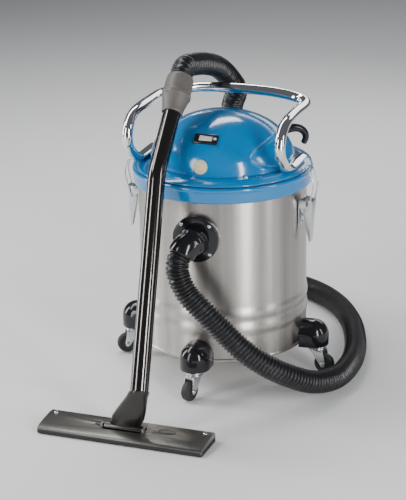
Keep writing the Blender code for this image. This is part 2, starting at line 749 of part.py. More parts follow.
def neck():
    """The neck that flares from the wand's foot to the pivot barrel in the floor head."""
    across = TOOL_TURN @ Vector((1, 0, 0))
    pivot = TOOL_PIVOT
    into = (WAND_BEND - WAND_FOOT).normalized()
    top = WAND_FOOT - into * GAP
    level = (across - into * across.dot(into)).normalized()
    rings = [ring_of(top, level, level.cross(into), WAND_R + 2 * MM, WAND_R + 2 * MM)]
    flare = ((0.25, 25, 18), (0.48, 31, 16), (0.7, 35, 12), (0.86, 33.5, 9), (1, 38, 7))
    for share, half_width, half_depth in flare:
        lean = Vector((0, -1, 0.35 * (1 - share))).normalized()
        rings.append(ring_of(top.lerp(pivot, share), across, lean, half_width * MM, half_depth * MM))
    shape = bmesh.new()
    loops = [[shape.verts.new(point) for point in ring] for ring in rings]
    count = len(loops[0])
    for upper, lower in zip(loops, loops[1:]):
        for number in range(count):
            follow = (number + 1) % count
            shape.faces.new((upper[number], lower[number], lower[follow], upper[follow]))
    shape.faces.new(loops[0])
    shape.faces.new(list(reversed(loops[-1])))
    bmesh.ops.recalc_face_normals(shape, faces=shape.faces)
    mesh = bpy.data.meshes.new("tool_neck")
    shape.to_mesh(mesh)
    shape.free()
    made = linked("tool_neck", mesh)
    reach = across * TOOL_BARREL_HALF
    barrel = rod("neck_barrel", pivot - reach, pivot + reach, TOOL_BARREL_R, 20)
    bore = rod("neck_bore", pivot - 1.5 * reach, pivot + 1.5 * reach, TOOL_PIN_R + GAP, 12)
    made = combine(combine(made, barrel, "UNION"), bore, "DIFFERENCE")
    place(made, *DARK_CHROME)
    reach = TOOL_BARREL_HALF + 6 * MM
    place(rod("tool_pivot_pin", pivot - across * reach, pivot + across * reach, TOOL_PIN_R, 12), *ZINC)


def tool():
    """The floor head: a low body that slopes to its front edge, two rubber strips and two screws."""
    stand = Matrix.Translation((TOOL_X, TOOL_Y, 0)) @ TOOL_TURN
    half = TOOL_WIDTH / 2
    outline = [(-39, 5), (-39, 11), (-36, 14), (-20, 17.5), (0, 20)]
    outline += [(20, 21.5), (34, 21), (38, 18), (39, 14), (39, 5)]
    body = plate("tool_body", [(y * MM, z * MM) for y, z in outline], TOOL_WIDTH)
    stood(body, Matrix(((0, 0, 1, 0), (1, 0, 0, 0), (0, 1, 0, 0), (0, 0, 0, 1))))
    ends = body.modifiers.new("ends", "BEVEL")
    ends.width = 2.5 * MM
    ends.segments = 2
    ends.angle_limit = math.radians(60)
    body = fixed(body)
    for side in (-1, 1):
        ear_x = TOOL_PIVOT_X + side * (TOOL_BARREL_HALF + 3 * GAP + 3.5 * MM)
        low = (ear_x - 3.5 * MM, -9 * MM, 12 * MM)
        high = (ear_x + 3.5 * MM, 9 * MM, TOOL_PIVOT_Z + 7 * MM)
        body = combine(body, block("tool_ear", low, high, 2.5 * MM), "UNION")
    reach = TOOL_BARREL_HALF + 3 * GAP
    low = (TOOL_PIVOT_X - reach, -TOOL_TROUGH, TOOL_PIVOT_Z - TOOL_BARREL_R - 0.8 * MM)
    trough = block("tool_trough", low, (TOOL_PIVOT_X + reach, TOOL_TROUGH, 60 * MM))
    low = (18 * MM - half, -15 * MM, -5 * MM)
    mouth = block("tool_mouth", low, (half - 18 * MM, 15 * MM, TOOL_MOUTH_TOP))
    body = combine(combine(body, trough, "DIFFERENCE"), mouth, "DIFFERENCE")
    ends = [Vector((TOOL_PIVOT_X + side * 60 * MM, 0, TOOL_PIVOT_Z)) for side in (-1, 1)]
    hole = rod("pin_hole", *ends, TOOL_PIN_R + GAP, 12)
    place(stood(combine(body, hole, "DIFFERENCE"), stand), *DARK_CHROME)
    for name, side in (("tool_strip_front", -1), ("tool_strip_back", 1)):
        middle = side * (TOOL_HALF_DEPTH - 8 * MM)
        low = (8 * MM - half, middle - STRIP_T / 2, 0)
        strip = block(name, low, (half - 8 * MM, middle + STRIP_T / 2, TOOL_UNDER - GAP))
        place(stood(strip, stand), *RUBBER)
    for name, side in (("tool_screw_left", -1), ("tool_screw_right", 1)):
        head = [(0, 2.6 * MM), (3 * MM, 2.4 * MM), (4.5 * MM, 1 * MM), (4.5 * MM, 0), (0, 0)]
        screw = turned(name, head, 16, closed=False)
        place(stood(screw, stand @ Matrix.Translation((side * 158 * MM, 22 * MM, 21.8 * MM))), *ZINC)


def caster(name, bearing, yaw):
    """One caster: ball-topped housing on the drum's foot, swivelling fork, axle and wheel."""
    facing = Matrix.Rotation(bearing, 4, "Z")
    place(stood(bpy.data.objects.new(f"caster_housing_{name}", HOUSING.data.copy()), facing), *BLACK)
    swivel = facing @ Matrix.Translation((SWIVEL_R, 0, 0)) @ Matrix.Rotation(yaw, 4, "Z")
    for kind, source, look in (("fork", FORK, ZINC), ("wheel", WHEEL, RUBBER), ("axle", AXLE, ZINC)):
        piece = bpy.data.objects.new(f"caster_{kind}_{name}", source.data.copy())
        place(piece, *look)
        axis = source.location.copy()
        piece.matrix_world = swivel @ Matrix.Translation(axis)


def housing_pattern():
    """The housing at +X: an arch from the drum's wall out to a domed cup, with a blind bore for the stem."""
    turns = [math.pi / 2 * number / 5 for number in range(6)]
    crown = CUP_BOTTOM + CUP_STRAIGHT
    profile = [(CUP_R * math.sin(turn), crown + CUP_R * math.cos(turn)) for turn in turns]
    profile += [(CUP_R, CUP_BOTTOM + 2 * MM), (CUP_R - 2 * MM, CUP_BOTTOM), (0, CUP_BOTTOM)]
    cup = turned("housing_pattern", profile, 24, closed=False)
    stood(cup, Matrix.Translation((CUP_CENTRE_R, 0, 0)))
    turns = [math.pi * number / 10 for number in range(11)]
    loaf = CUP_R - GAP
    outline = [(loaf * math.cos(turn), crown + loaf * math.sin(turn)) for turn in turns]
    outline += [(-CUP_R * 0.985, CUP_BOTTOM + 1 * MM), (CUP_R * 0.985, CUP_BOTTOM + 1 * MM)]
    loaf = plate("housing_loaf", outline, CUP_CENTRE_R - 150 * MM)
    across = Matrix(((0, 0, 1, (CUP_CENTRE_R + 150 * MM) / 2), (1, 0, 0, 0), (0, 1, 0, 0), (0, 0, 0, 1)))
    stood(loaf, across)
    cup = combine(cup, loaf, "UNION")
    room = DRUM_R + GAP * 1.5
    bulk = [(0, 240 * MM), (room, 240 * MM), (room, 20 * MM), (0, 20 * MM)]
    wall = turned("housing_wall", bulk, 96, closed=False)
    cup = combine(cup, wall, "DIFFERENCE")
    ends = [(SWIVEL_R, 0, CUP_BOTTOM - 5 * MM), (SWIVEL_R, 0, CUP_BOTTOM + STEM_UP + 1 * MM)]
    bore = rod("stem_bore", *ends, STEM_R + GAP, 16)
    return cutter(combine(cup, bore, "DIFFERENCE"))


def fork_pattern():
    """The fork about its swivel axis, trailing to +X: stem, ball race, crown and two tapering cheeks."""
    race_top = CUP_BOTTOM - GAP
    crown = race_top - RACE_T
    profile = [
        (0, race_top + STEM_UP),
        (STEM_R, race_top + STEM_UP),
        (STEM_R, race_top),
        (RACE_R - 2 * MM, race_top),
        (RACE_R, race_top - 2 * MM),
        (RACE_R - 3 * MM, race_top - 5 * MM),
        (RACE_R - 1 * MM, race_top - 7 * MM),
        (RACE_R - 4 * MM, crown),
        (0, crown),
    ]
    fork = turned("fork_pattern", profile, 24, closed=False)
    half = WHEEL_WIDTH / 2 + FORK_CLEAR
    low = (-11 * MM, -half - FORK_PLATE, crown - 3 * MM)
    top = block("fork_crown", low, (18 * MM, half + FORK_PLATE, crown + 1 * MM))
    fork = combine(fork, top, "UNION")
    tip = WHEEL_R - 7 * MM
    outline = [(-11, crown), (18, crown), (21, WHEEL_R), (18, tip), (10, tip), (6, WHEEL_R)]
    outline = [(x * MM if abs(x) > 1 else x, z) for x, z in outline]
    for side in (-1, 1):
        cheek = plate("fork_cheek", outline, FORK_PLATE)
        middle = side * (half + FORK_PLATE / 2)
        stand = Matrix(((1, 0, 0, 0), (0, 0, -1, middle), (0, 1, 0, 0), (0, 0, 0, 1)))
        fork = combine(fork, stood(cheek, stand), "UNION")
    ends = [(WHEEL_TRAIL, reach * MM, WHEEL_R) for reach in (-40, 40)]
    hole = rod("fork_hole", *ends, AXLE_R + GAP, 16)
    return cutter(combine(fork, hole, "DIFFERENCE"))


def wheel_pattern():
    """A crowned wheel about the origin with its axis on Y, stood at its place under the swivel."""
    half = WHEEL_WIDTH / 2
    profile = [
        (WHEEL_R, half - 4 * MM),
        (WHEEL_R, -half + 4 * MM),
        (WHEEL_R - 3 * MM, -half),
        (AXLE_R + GAP, -half),
        (AXLE_R + GAP, half),
        (WHEEL_R - 3 * MM, half),
    ]
    wheel = turned("wheel_pattern", profile, 32)
    stood(wheel, Matrix.Rotation(math.pi / 2, 4, "X"))
    wheel.location = (WHEEL_TRAIL, 0, WHEEL_R)
    return cutter(wheel)


def axle_pattern():
    reach = WHEEL_WIDTH / 2 + FORK_CLEAR + FORK_PLATE + 2 * MM
    pin = rod("axle_pattern", (0, -reach, 0), (0, reach, 0), AXLE_R, 16)
    pin.location = (WHEEL_TRAIL, 0, WHEEL_R)
    return cutter(pin)


def latch(name, side):
    """A draw latch: bracket on the drum, channel lever on its pin, and wire bail hooked over the lid."""
    mirror = Matrix.Diagonal((side, 1, 1, 1)) @ Matrix.Rotation(LATCH_BEARING, 4, "Z")
    wall = DRUM_R + 0.6 * MM
    base = block(
        f"latch_bracket_{name}",
        (wall, -EAR_HALF - 1.4 * MM, LEVER_PIVOT_Z - 46 * MM),
        (wall + 2.6 * MM, EAR_HALF + 1.4 * MM, LEVER_PIVOT_Z + 8 * MM),
    )
    for end in (-1, 1):
        ear = block(
            "bracket_ear",
            (wall + 1 * MM, end * EAR_HALF - 1.4 * MM, LEVER_PIVOT_Z - 8 * MM),
            (LEVER_PIVOT_X + 5 * MM, end * EAR_HALF + 1.4 * MM, LEVER_PIVOT_Z + 8 * MM),
        )
        base = combine(base, ear, "UNION")
    ends = [Vector((LEVER_PIVOT_X, end * EAR_HALF, LEVER_PIVOT_Z)) for end in (-1, 1)]
    base = combine(base, rod("bracket_pin", *ends, PIVOT_PIN_R, 16), "UNION")
    place(stood(base, mirror), *ZINC)

    outside = [(183.5, 385), (202, 388), (203.5, 385), (197.5, 297), (195, 297), (183, 358)]
    inside = [(170, 392), (200.5, 392), (201.4, 385), (195.6, 300), (170, 300)]
    flat = Matrix(((1, 0, 0, 0), (0, 0, -1, 0), (0, 1, 0, 0), (0, 0, 0, 1)))
    lever = plate(f"latch_lever_{name}", [(x * MM, z * MM) for x, z in outside], 2 * LEVER_HALF)
    stood(lever, flat)
    channel = plate("lever_channel", [(x * MM, z * MM) for x, z in inside], 2 * (LEVER_HALF - LEVER_WALL))
    lever = combine(lever, stood(channel, flat), "DIFFERENCE")
    ends = [Vector((LEVER_PIVOT_X, end * 30 * MM, LEVER_PIVOT_Z)) for end in (-1, 1)]
    lever = combine(lever, rod("lever_hole", *ends, PIVOT_PIN_R + 0.4 * MM, 16), "DIFFERENCE")
    for vertex in lever.data.vertices:
        down = max(0.0, (BAIL_PIVOT_Z - 8 * MM - vertex.co.z) / (BAIL_PIVOT_Z - 8 * MM - LEVER_TIP_Z))
        vertex.co.y *= 1 - down * (1 - LEVER_TIP_SHARE)
    place(stood(lever, mirror), *ZINC)

    half = [(0, LEVER_HALF + GAP, 0), (0, BAIL_HALF - 0.6 * MM, 0), (0.3 * MM, BAIL_HALF, 2 * MM)]
    bow = ((6, 20), (13, 52), (13, 60), (5, 82), (-1, 88.5), (-6, 90))
    half += [(x * MM, BAIL_HALF, z * MM) for x, z in bow]
    half += [(-10 * MM, BAIL_HALF - 1 * MM, 90.3 * MM), (-11.5 * MM, BAIL_HALF - 4 * MM, 90.5 * MM)]
    pivot = Vector((BAIL_PIVOT_X, 0, BAIL_PIVOT_Z))
    whole = [pivot + Vector(point) for point in half]
    whole += [pivot + Vector((x, -y, z)) for x, y, z in reversed(half)]
    place(stood(tube(f"latch_bail_{name}", whole, WIRE_R, 1), mirror), *ZINC)


def lid_screws():
    for name, side in (("right", 1), ("left", -1)):
        turn = math.radians(-90 + side * 35)
        at = Vector((math.cos(turn), math.sin(turn), 0)) * 156 * MM
        head = [(0, 3 * MM), (3 * MM, 2.6 * MM), (4 * MM, 1 * MM), (4 * MM, 0), (0, 0)]
        screw = turned(f"lid_screw_{name}", head, 12, closed=False)
        place(stood(screw, Matrix.Translation(at + Vector((0, 0, LID_TOP + GAP)))), *ZINC)


# Routes, each a list of points chosen by hand
ELBOW = [Vector(point) * MM for point in ((0, -186, 336), (0, -193, 336), (-3, -204, 334.5))]
ELBOW += [Vector(point) * MM for point in ((-8, -214, 330.5), (-13, -221, 324), (-17, -226, 315))]
ELBOW_AXIS = (ELBOW[-1] - ELBOW[-2]).normalized()
WAND_FOOT = Vector((-38, -425, 101)) * MM
WAND_BEND = Vector((-72, -203, 476)) * MM
WAND_TOP = Vector((-72, -108, 571)) * MM
CUFF_AXIS = (WAND_TOP - WAND_BEND).normalized()
TOOL_TURN = Matrix.Rotation(TOOL_YAW, 4, "Z")
TOOL_PIVOT = Matrix.Translation((TOOL_X, TOOL_Y, 0)) @ TOOL_TURN @ Vector((TOOL_PIVOT_X, 0, TOOL_PIVOT_Z))
HOSE_END = 14 * MM  # the straight part in line with each fitting
HOSE = [ELBOW[-1] + ELBOW_AXIS * GAP, ELBOW[-1] + ELBOW_AXIS * HOSE_END]
HOSE += [
    Vector(point) * MM
    for point in (
        (-19, -238, 275),
        (0, -242, 240),
        (40, -246, 204),
        (76, -244, 168),
        (116, -240, 131),
        (156, -226, 99),
        (197, -198, 69),
        (236, -152, 41),
        (267, -85, 27),
        (277, 0, 25),
        (270, 75, 25),
        (252, 150, 25),
        (221, 238, 25),
        (166, 335, 25),
        (104, 400, 25),
        (38, 438, 25),
        (-25, 440, 29),
        (-72, 402, 52),
        (-88, 348, 102),
        (-84, 298, 176),
        (-70, 264, 262),
        (-56, 245, 350),
        (-50, 230, 430),
        (-42, 206, 512),
        (-26, 188, 551),
        (-34, 165, 582),
        (-45, 120, 616),
        (-56, 65, 636),
        (-66, 10, 646),
        (-71, -20, 648),
    )
]
HOSE += [WAND_TOP + CUFF_AXIS * (CUFF_LENGTH + reach) for reach in (HOSE_END, GAP)]

drum()
collar()
lid()
dome()
seal()
handle()
cord_hooks()
switch()
gland()
motor()
float_valve()
inlet()
hose()
wand()
neck()
tool()
lid_screws()
HOUSING = housing_pattern()
FORK = fork_pattern()
WHEEL = wheel_pattern()
AXLE = axle_pattern()
for caster_name, caster_bearing, caster_yaw in (
    ("right", 0, -8),
    ("rear", 90, -20),
    ("left", 180, 30),
    ("front", 270, -18),
):
    caster(caster_name, math.radians(caster_bearing), math.radians(caster_yaw))
latch("right", 1)
latch("left", -1)

# The footprint's centre goes to the origin: the hose and its cuff aren't counted.
bpy.context.view_layer.update()
corners = [
    piece.matrix_world @ Vector(corner)
    for piece in PARTS.objects
    if piece.type == "MESH" and piece.name not in ("hose", "hose_cuff")
    for corner in piece.bound_box
]
for number in (0, 1):
    spread = [corner[number] for corner in corners]
    ROOT.location[number] = -(min(spread) + max(spread)) / 2
ROOT.location.z = -min(corner.z for corner in corners)
bpy.context.view_layer.update()
print("root shifted by", [round(value * 1000, 3) for value in ROOT.location], "mm")
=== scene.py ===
import math

import bmesh
import bpy
from mathutils import Matrix, Vector


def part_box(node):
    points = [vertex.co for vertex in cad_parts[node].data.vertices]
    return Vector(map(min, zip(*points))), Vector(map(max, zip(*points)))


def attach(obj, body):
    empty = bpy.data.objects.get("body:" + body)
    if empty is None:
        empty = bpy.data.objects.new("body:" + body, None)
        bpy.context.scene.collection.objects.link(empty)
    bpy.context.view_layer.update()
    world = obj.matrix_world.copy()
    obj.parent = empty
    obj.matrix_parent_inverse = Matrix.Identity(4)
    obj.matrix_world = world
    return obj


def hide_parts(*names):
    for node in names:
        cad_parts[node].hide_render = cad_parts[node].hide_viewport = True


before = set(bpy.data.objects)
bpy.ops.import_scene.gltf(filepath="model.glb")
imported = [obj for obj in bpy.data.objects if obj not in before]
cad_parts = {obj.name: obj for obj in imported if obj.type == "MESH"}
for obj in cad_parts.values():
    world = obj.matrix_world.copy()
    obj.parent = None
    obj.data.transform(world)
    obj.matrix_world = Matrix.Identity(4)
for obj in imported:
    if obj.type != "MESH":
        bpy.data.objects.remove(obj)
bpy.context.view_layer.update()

# The camera looks at the machine's front from a little to the right and above, through a long lens.
# It is aimed at the drum's axis, and its shift sets the machine where the frame wants it.
MM = 0.001
drum_low, drum_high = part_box("drum")
AXIS = Vector(((drum_low.x + drum_high.x) / 2, (drum_low.y + drum_high.y) / 2, 0))
CAMERA_AZIMUTH = math.radians(17.65)
CAMERA_ELEVATION = math.radians(18.2)
CAMERA_ROLL = math.radians(-0.585)
CAMERA_DISTANCE = 3.75
CAMERA_LENS = 128.7
CAMERA_SHIFT = (-0.04034, -0.06074)
AIM = AXIS + Vector((0, 0, 0.319))
back = Vector(
    (
        math.sin(CAMERA_AZIMUTH) * math.cos(CAMERA_ELEVATION),
        -math.cos(CAMERA_AZIMUTH) * math.cos(CAMERA_ELEVATION),
        math.sin(CAMERA_ELEVATION),
    )
)
lens = bpy.data.cameras.new("camera")
lens.lens = CAMERA_LENS
lens.sensor_width = 36
lens.shift_x, lens.shift_y = CAMERA_SHIFT
camera = bpy.data.objects.new("camera", lens)
bpy.context.scene.collection.objects.link(camera)
camera.location = AIM + back * CAMERA_DISTANCE
facing_aim = (-back).to_track_quat("-Z", "Y").to_matrix().to_4x4()
rolled = facing_aim @ Matrix.Rotation(CAMERA_ROLL, 4, "Z")
camera.matrix_world = Matrix.Translation(camera.location) @ rolled
bpy.context.scene.camera = camera

# The studio: a sheet of pale paper underfoot in a dim grey room. A long soft box hangs overhead, and
# tall narrow ones stand at the sides and behind, whose edges show as streaks in the steel and chrome.
SOFT_BOXES = (
    ("overhead_box", (-1.25, 0.62, 2.5), (4.4, 0.5), 68),
    ("left_box", (-1.15, -1.9, 0.95), (0.3, 1.9), 20),
    ("far_left_box", (-2.9, -0.14, 1.2), (0.55, 2.2), 50),
    ("right_box", (1.75, -1.65, 0.85), (0.24, 1.7), 36),
    ("far_right_box", (3.1, -0.42, 1.2), (0.28, 2.1), 24),
    ("back_box", (0.4, 2.2, 1.3), (1.6, 0.8), 10),
)
MACHINE_MIDDLE = AXIS + Vector((0, 0, 0.3))
for name, place, size, power in SOFT_BOXES:
    lamp = bpy.data.lights.new(name, "AREA")
    lamp.shape = "RECTANGLE"
    lamp.size, lamp.size_y = size
    lamp.energy = power
    holder = bpy.data.objects.new(name, lamp)
    bpy.context.scene.collection.objects.link(holder)
    stand_at = AXIS + Vector(place)
    facing_machine = (MACHINE_MIDDLE - stand_at).to_track_quat("-Z", "Y").to_matrix().to_4x4()
    holder.matrix_world = Matrix.Translation(stand_at) @ facing_machine
ROOM_GREY = (0.75, 0.8, 0.88, 1)
ROOM_LIGHT = 0.15
room = bpy.data.worlds.new("grey_room")
room.use_nodes = True
backdrop = room.node_tree.nodes["Background"]
backdrop.inputs["Color"].default_value = ROOM_GREY
backdrop.inputs["Strength"].default_value = ROOM_LIGHT
bpy.context.scene.world = room

FINISHES = {}


def dial(node, values):
    """Sets the named inputs of a shading node."""
    for name, value in values.items():
        node.inputs[name].default_value = value


def finish(name, colour, gloss, metal=0.0, drift=0.06, drift_scale=14, grain=(900, 900, 900), relief=0.05):
    """A surface with drifting colour, uneven gloss and a grain of so many marks to the metre."""
    made = bpy.data.materials.new(f"{name}_finish")
    FINISHES[name] = made
    made.use_nodes = True
    tree = made.node_tree
    link = tree.links.new
    shader = tree.nodes["Principled BSDF"]
    shader.inputs["Metallic"].default_value = metal
    where = tree.nodes.new("ShaderNodeTexCoord")
    slow = tree.nodes.new("ShaderNodeTexNoise")
    slow.name = "drift"
    dial(slow, {"Scale": drift_scale, "Detail": 5})
    link(where.outputs["Object"], slow.inputs["Vector"])
    tint = tree.nodes.new("ShaderNodeMix")
    tint.data_type = "RGBA"
    tint.inputs["A"].default_value = (*[value * (1 - drift) for value in colour], 1)
    tint.inputs["B"].default_value = (*[min(1, value * (1 + drift)) for value in colour], 1)
    link(slow.outputs["Fac"], tint.inputs["Factor"])
    link(tint.outputs["Result"], shader.inputs["Base Color"])
    spacing = tree.nodes.new("ShaderNodeMapping")
    spacing.inputs["Scale"].default_value = grain
    link(where.outputs["Object"], spacing.inputs["Vector"])
    fine = tree.nodes.new("ShaderNodeTexNoise")
    dial(fine, {"Scale": 1, "Detail": 3})
    link(spacing.outputs["Vector"], fine.inputs["Vector"])
    uneven = tree.nodes.new("ShaderNodeMapRange")
    dial(uneven, {"From Min": 0.3, "From Max": 0.7, "To Min": gloss * 0.85, "To Max": gloss * 1.2})
    link(fine.outputs["Fac"], uneven.inputs["Value"])
    link(uneven.outputs["Result"], shader.inputs["Roughness"])
    raised = tree.nodes.new("ShaderNodeBump")
    dial(raised, {"Strength": relief, "Distance": 0.0004})
    link(fine.outputs["Fac"], raised.inputs["Height"])
    link(raised.outputs["Normal"], shader.inputs["Normal"])
    return made


SHEET_HALF = 9.0
corners = [(-1, -1), (1, -1), (1, 1), (-1, 1)]
paper = bpy.data.meshes.new("paper")
paper.from_pydata([(x * SHEET_HALF, y * SHEET_HALF, 0) for x, y in corners], [], [(0, 1, 2, 3)])
paper.materials.append(finish("paper", (0.86, 0.86, 0.86), 0.8, 0, 0.01, 3, (600, 600, 600), 0.05))
paper_sheet = bpy.data.objects.new("paper", paper)
bpy.context.scene.collection.objects.link(paper_sheet)

# The hose: a black ribbed vacuum hose of 48 mm, wound as one corrugated skin. It runs from the elbow's
# mouth down the front, round the right side on the floor and up over the machine's back to its cuff.
# It is drawn, as every piece is, in millimetres from the foot of the drum's axis; STAND sets it down.
STAND = Matrix.Translation(AXIS) @ Matrix.Scale(MM, 4)
GAP = 0.3
HOSE_R = 24
RIB_PITCH = 7.8
RIB_DEPTH = 3.8
STEPS_TO_A_RIB = 8
HOSE_SPACING = 12
HOSE_END = 14
CUFF_LENGTH = 85
ELBOW = [(0, -186, 336), (0, -193, 336), (-3, -204, 334.5)]
ELBOW += [(-8, -214, 330.5), (-13, -221, 324), (-17, -226, 315)]
ELBOW = [Vector(point) for point in ELBOW]
ELBOW_AXIS = (ELBOW[-1] - ELBOW[-2]).normalized()
WAND_FOOT = Vector((-38, -425, 101))
WAND_BEND = Vector((-72, -203, 476))
WAND_TOP = Vector((-72, -108, 571))
CUFF_AXIS = (WAND_TOP - WAND_BEND).normalized()
DOWN_THE_FRONT = [(-19, -238, 275), (0, -242, 240), (40, -246, 204)]
DOWN_THE_FRONT += [(76, -244, 168), (116, -240, 131), (156, -226, 99)]
ROUND_THE_SIDE = [(197, -198, 69), (236, -152, 41), (267, -85, 27)]
ROUND_THE_SIDE += [(277, 0, 25), (270, 75, 25), (252, 150, 25)]
BEHIND = [(221, 238, 25), (166, 335, 25), (104, 400, 25)]
BEHIND += [(38, 438, 25), (-25, 440, 29), (-72, 402, 52)]
UP_THE_BACK = [(-88, 348, 102), (-84, 298, 176), (-70, 264, 262)]
UP_THE_BACK += [(-56, 245, 350), (-50, 230, 430), (-42, 206, 512)]
OVER_THE_TOP = [(-26, 188, 551), (-34, 165, 582), (-45, 120, 616)]
OVER_THE_TOP += [(-56, 65, 636), (-66, 10, 646), (-71, -20, 648)]


def eased(points, spacing):
    """Evenly spaced points on a smooth curve through the given ones."""
    knots = [Vector(point) for point in points]
    knots = [2 * knots[0] - knots[1], *knots, 2 * knots[-1] - knots[-2]]
    fine = []
    for a, b, c, d in zip(knots, knots[1:], knots[2:], knots[3:]):
        first, second, third = (max(1e-9, (q - p).length) ** 0.5 for p, q in ((a, b), (b, c), (c, d)))
        leave = (b - a) / first - (c - a) / (first + second) + (c - b) / second
        arrive = (c - b) / second - (d - b) / (second + third) + (d - c) / third
        for step in range(24):
            t = step / 24
            square, cube = t * t, t * t * t
            fine.append(
                (2 * cube - 3 * square + 1) * b
                + (cube - 2 * square + t) * second * leave
                + (3 * square - 2 * cube) * c
                + (cube - square) * second * arrive
            )
    fine.append(knots[-2])
    total = sum((q - p).length for p, q in zip(fine, fine[1:]))
    count = max(2, round(total / spacing))
    even, done, index = [fine[0]], 0.0, 0
    for number in range(1, count):
        target = total * number / count
        while done + (fine[index + 1] - fine[index]).length < target:
            done += (fine[index + 1] - fine[index]).length
            index += 1
        step = fine[index + 1] - fine[index]
        even.append(fine[index] + step * ((target - done) / step.length))
    return [*even, fine[-1]]


hose_route = [ELBOW[-1] + ELBOW_AXIS * GAP, ELBOW[-1] + ELBOW_AXIS * HOSE_END]
for stretch in (DOWN_THE_FRONT, ROUND_THE_SIDE, BEHIND, UP_THE_BACK, OVER_THE_TOP):
    hose_route += [Vector(point) for point in stretch]
hose_route += [WAND_TOP + CUFF_AXIS * (CUFF_LENGTH + reach) for reach in (HOSE_END, GAP)]
hose_middle = [*hose_route[:2], *eased(hose_route, HOSE_SPACING)[2:-2], *hose_route[-2:]]
hose_line = [STAND @ point for point in hose_middle]
hose_length = sum((b - a).length for a, b in zip(hose_line, hose_line[1:]))


def begun(name, sizes):
    """A geometry tree that takes a shape, these sizes and a finish, with the node that they come in by."""
    tree = bpy.data.node_groups.new(name, "GeometryNodeTree")
    tree.interface.new_socket("Geometry", in_out="INPUT", socket_type="NodeSocketGeometry")
    for size in sizes:
        tree.interface.new_socket(size, in_out="INPUT", socket_type="NodeSocketFloat")
    tree.interface.new_socket("Finish", in_out="INPUT", socket_type="NodeSocketMaterial")
    tree.interface.new_socket("Geometry", in_out="OUTPUT", socket_type="NodeSocketGeometry")
    return tree, tree.nodes.new("NodeGroupInput")


def sum_of(tree, operation, first, second=None):
    """One sum in a tree, of numbers or of what other nodes give."""
    node = tree.nodes.new("ShaderNodeMath")
    node.operation = operation
    for socket, value in zip(node.inputs, (first, second)):
        if isinstance(value, (int, float)):
            socket.default_value = value
        elif value is not None:
            tree.links.new(value, socket)
    return node.outputs[0]


def ended(tree, into, shape):
    """Ends a tree: the shape is made real, given its finish and passed out."""
    real = tree.nodes.new("GeometryNodeRealizeInstances")
    coloured = tree.nodes.new("GeometryNodeSetMaterial")
    tree.links.new(shape, real.inputs["Geometry"])
    tree.links.new(real.outputs["Geometry"], coloured.inputs["Geometry"])
    tree.links.new(into.outputs["Finish"], coloured.inputs["Material"])
    tree.links.new(coloured.outputs["Geometry"], tree.nodes.new("NodeGroupOutput").inputs["Geometry"])
    return tree


def grown(name, seed_data, tree, values):
    """The plain mesh that a tree grows from a curve or a mesh, with its named inputs set."""
    seed = bpy.data.objects.new(name, seed_data)
    bpy.context.scene.collection.objects.link(seed)
    grower = seed.modifiers.new(tree.name, "NODES")
    grower.node_group = tree
    for item in tree.interface.items_tree:
        if item.in_out == "INPUT" and item.name in values:
            grower[item.identifier] = values[item.name]
    bpy.context.view_layer.update()
    graph = bpy.context.evaluated_depsgraph_get()
    mesh = bpy.data.meshes.new_from_object(seed.evaluated_get(graph))
    mesh.name = name
    bpy.data.objects.remove(seed, do_unlink=True)
    return mesh


def rib_tree():
    """Sweeps a ring along a line and swells it into ribs of even pitch."""
    tree, into = begun("hose_ribs", ("Crest Radius", "Rib Depth", "Pitch"))
    link = tree.links.new
    evenly = tree.nodes.new("GeometryNodeResampleCurve")
    evenly.mode = "LENGTH"
    link(into.outputs["Geometry"], evenly.inputs["Curve"])
    step = sum_of(tree, "DIVIDE", into.outputs["Pitch"], STEPS_TO_A_RIB)
    link(step, evenly.inputs["Length"])
    along = tree.nodes.new("GeometryNodeSplineParameter")
    turns = sum_of(tree, "DIVIDE", along.outputs["Length"], into.outputs["Pitch"])
    wave = sum_of(tree, "ABSOLUTE", sum_of(tree, "SINE", sum_of(tree, "MULTIPLY", turns, math.pi)))
    groove = sum_of(tree, "SUBTRACT", 1, sum_of(tree, "POWER", wave, 1.3))
    sunk = sum_of(tree, "MULTIPLY", groove, into.outputs["Rib Depth"])
    radius = sum_of(tree, "SUBTRACT", into.outputs["Crest Radius"], sunk)
    ring = tree.nodes.new("GeometryNodeCurvePrimitiveCircle")
    dial(ring, {"Resolution": 24, "Radius": 1})
    skin = tree.nodes.new("GeometryNodeCurveToMesh")
    skin.inputs["Fill Caps"].default_value = True
    link(evenly.outputs["Curve"], skin.inputs["Curve"])
    link(ring.outputs["Curve"], skin.inputs["Profile Curve"])
    link(radius, skin.inputs["Scale"])
    return ended(tree, into, skin.outputs["Mesh"])


line_data = bpy.data.curves.new("hose_line", "CURVE")
line_data.dimensions = "3D"
spline = line_data.splines.new("POLY")
spline.points.add(len(hose_line) - 1)
for knot, at in zip(spline.points, hose_line):
    knot.co = (*at, 1)
rib_sizes = {
    "Crest Radius": HOSE_R * MM,
    "Rib Depth": RIB_DEPTH * MM,
    "Pitch": hose_length / round(hose_length / (RIB_PITCH * MM)),
    "Finish": finish("hose_black", (0.012, 0.012, 0.014), 0.3, 0, 0.3, 40, (1400, 1400, 1400), 0.03),
}
ribs = grown("hose_skin", line_data, rib_tree(), rib_sizes)
ribs.shade_smooth()
hose_skin = bpy.data.objects.new("hose_skin", ribs)
bpy.context.scene.collection.objects.link(hose_skin)
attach(hose_skin, "machine")
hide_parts("hose")

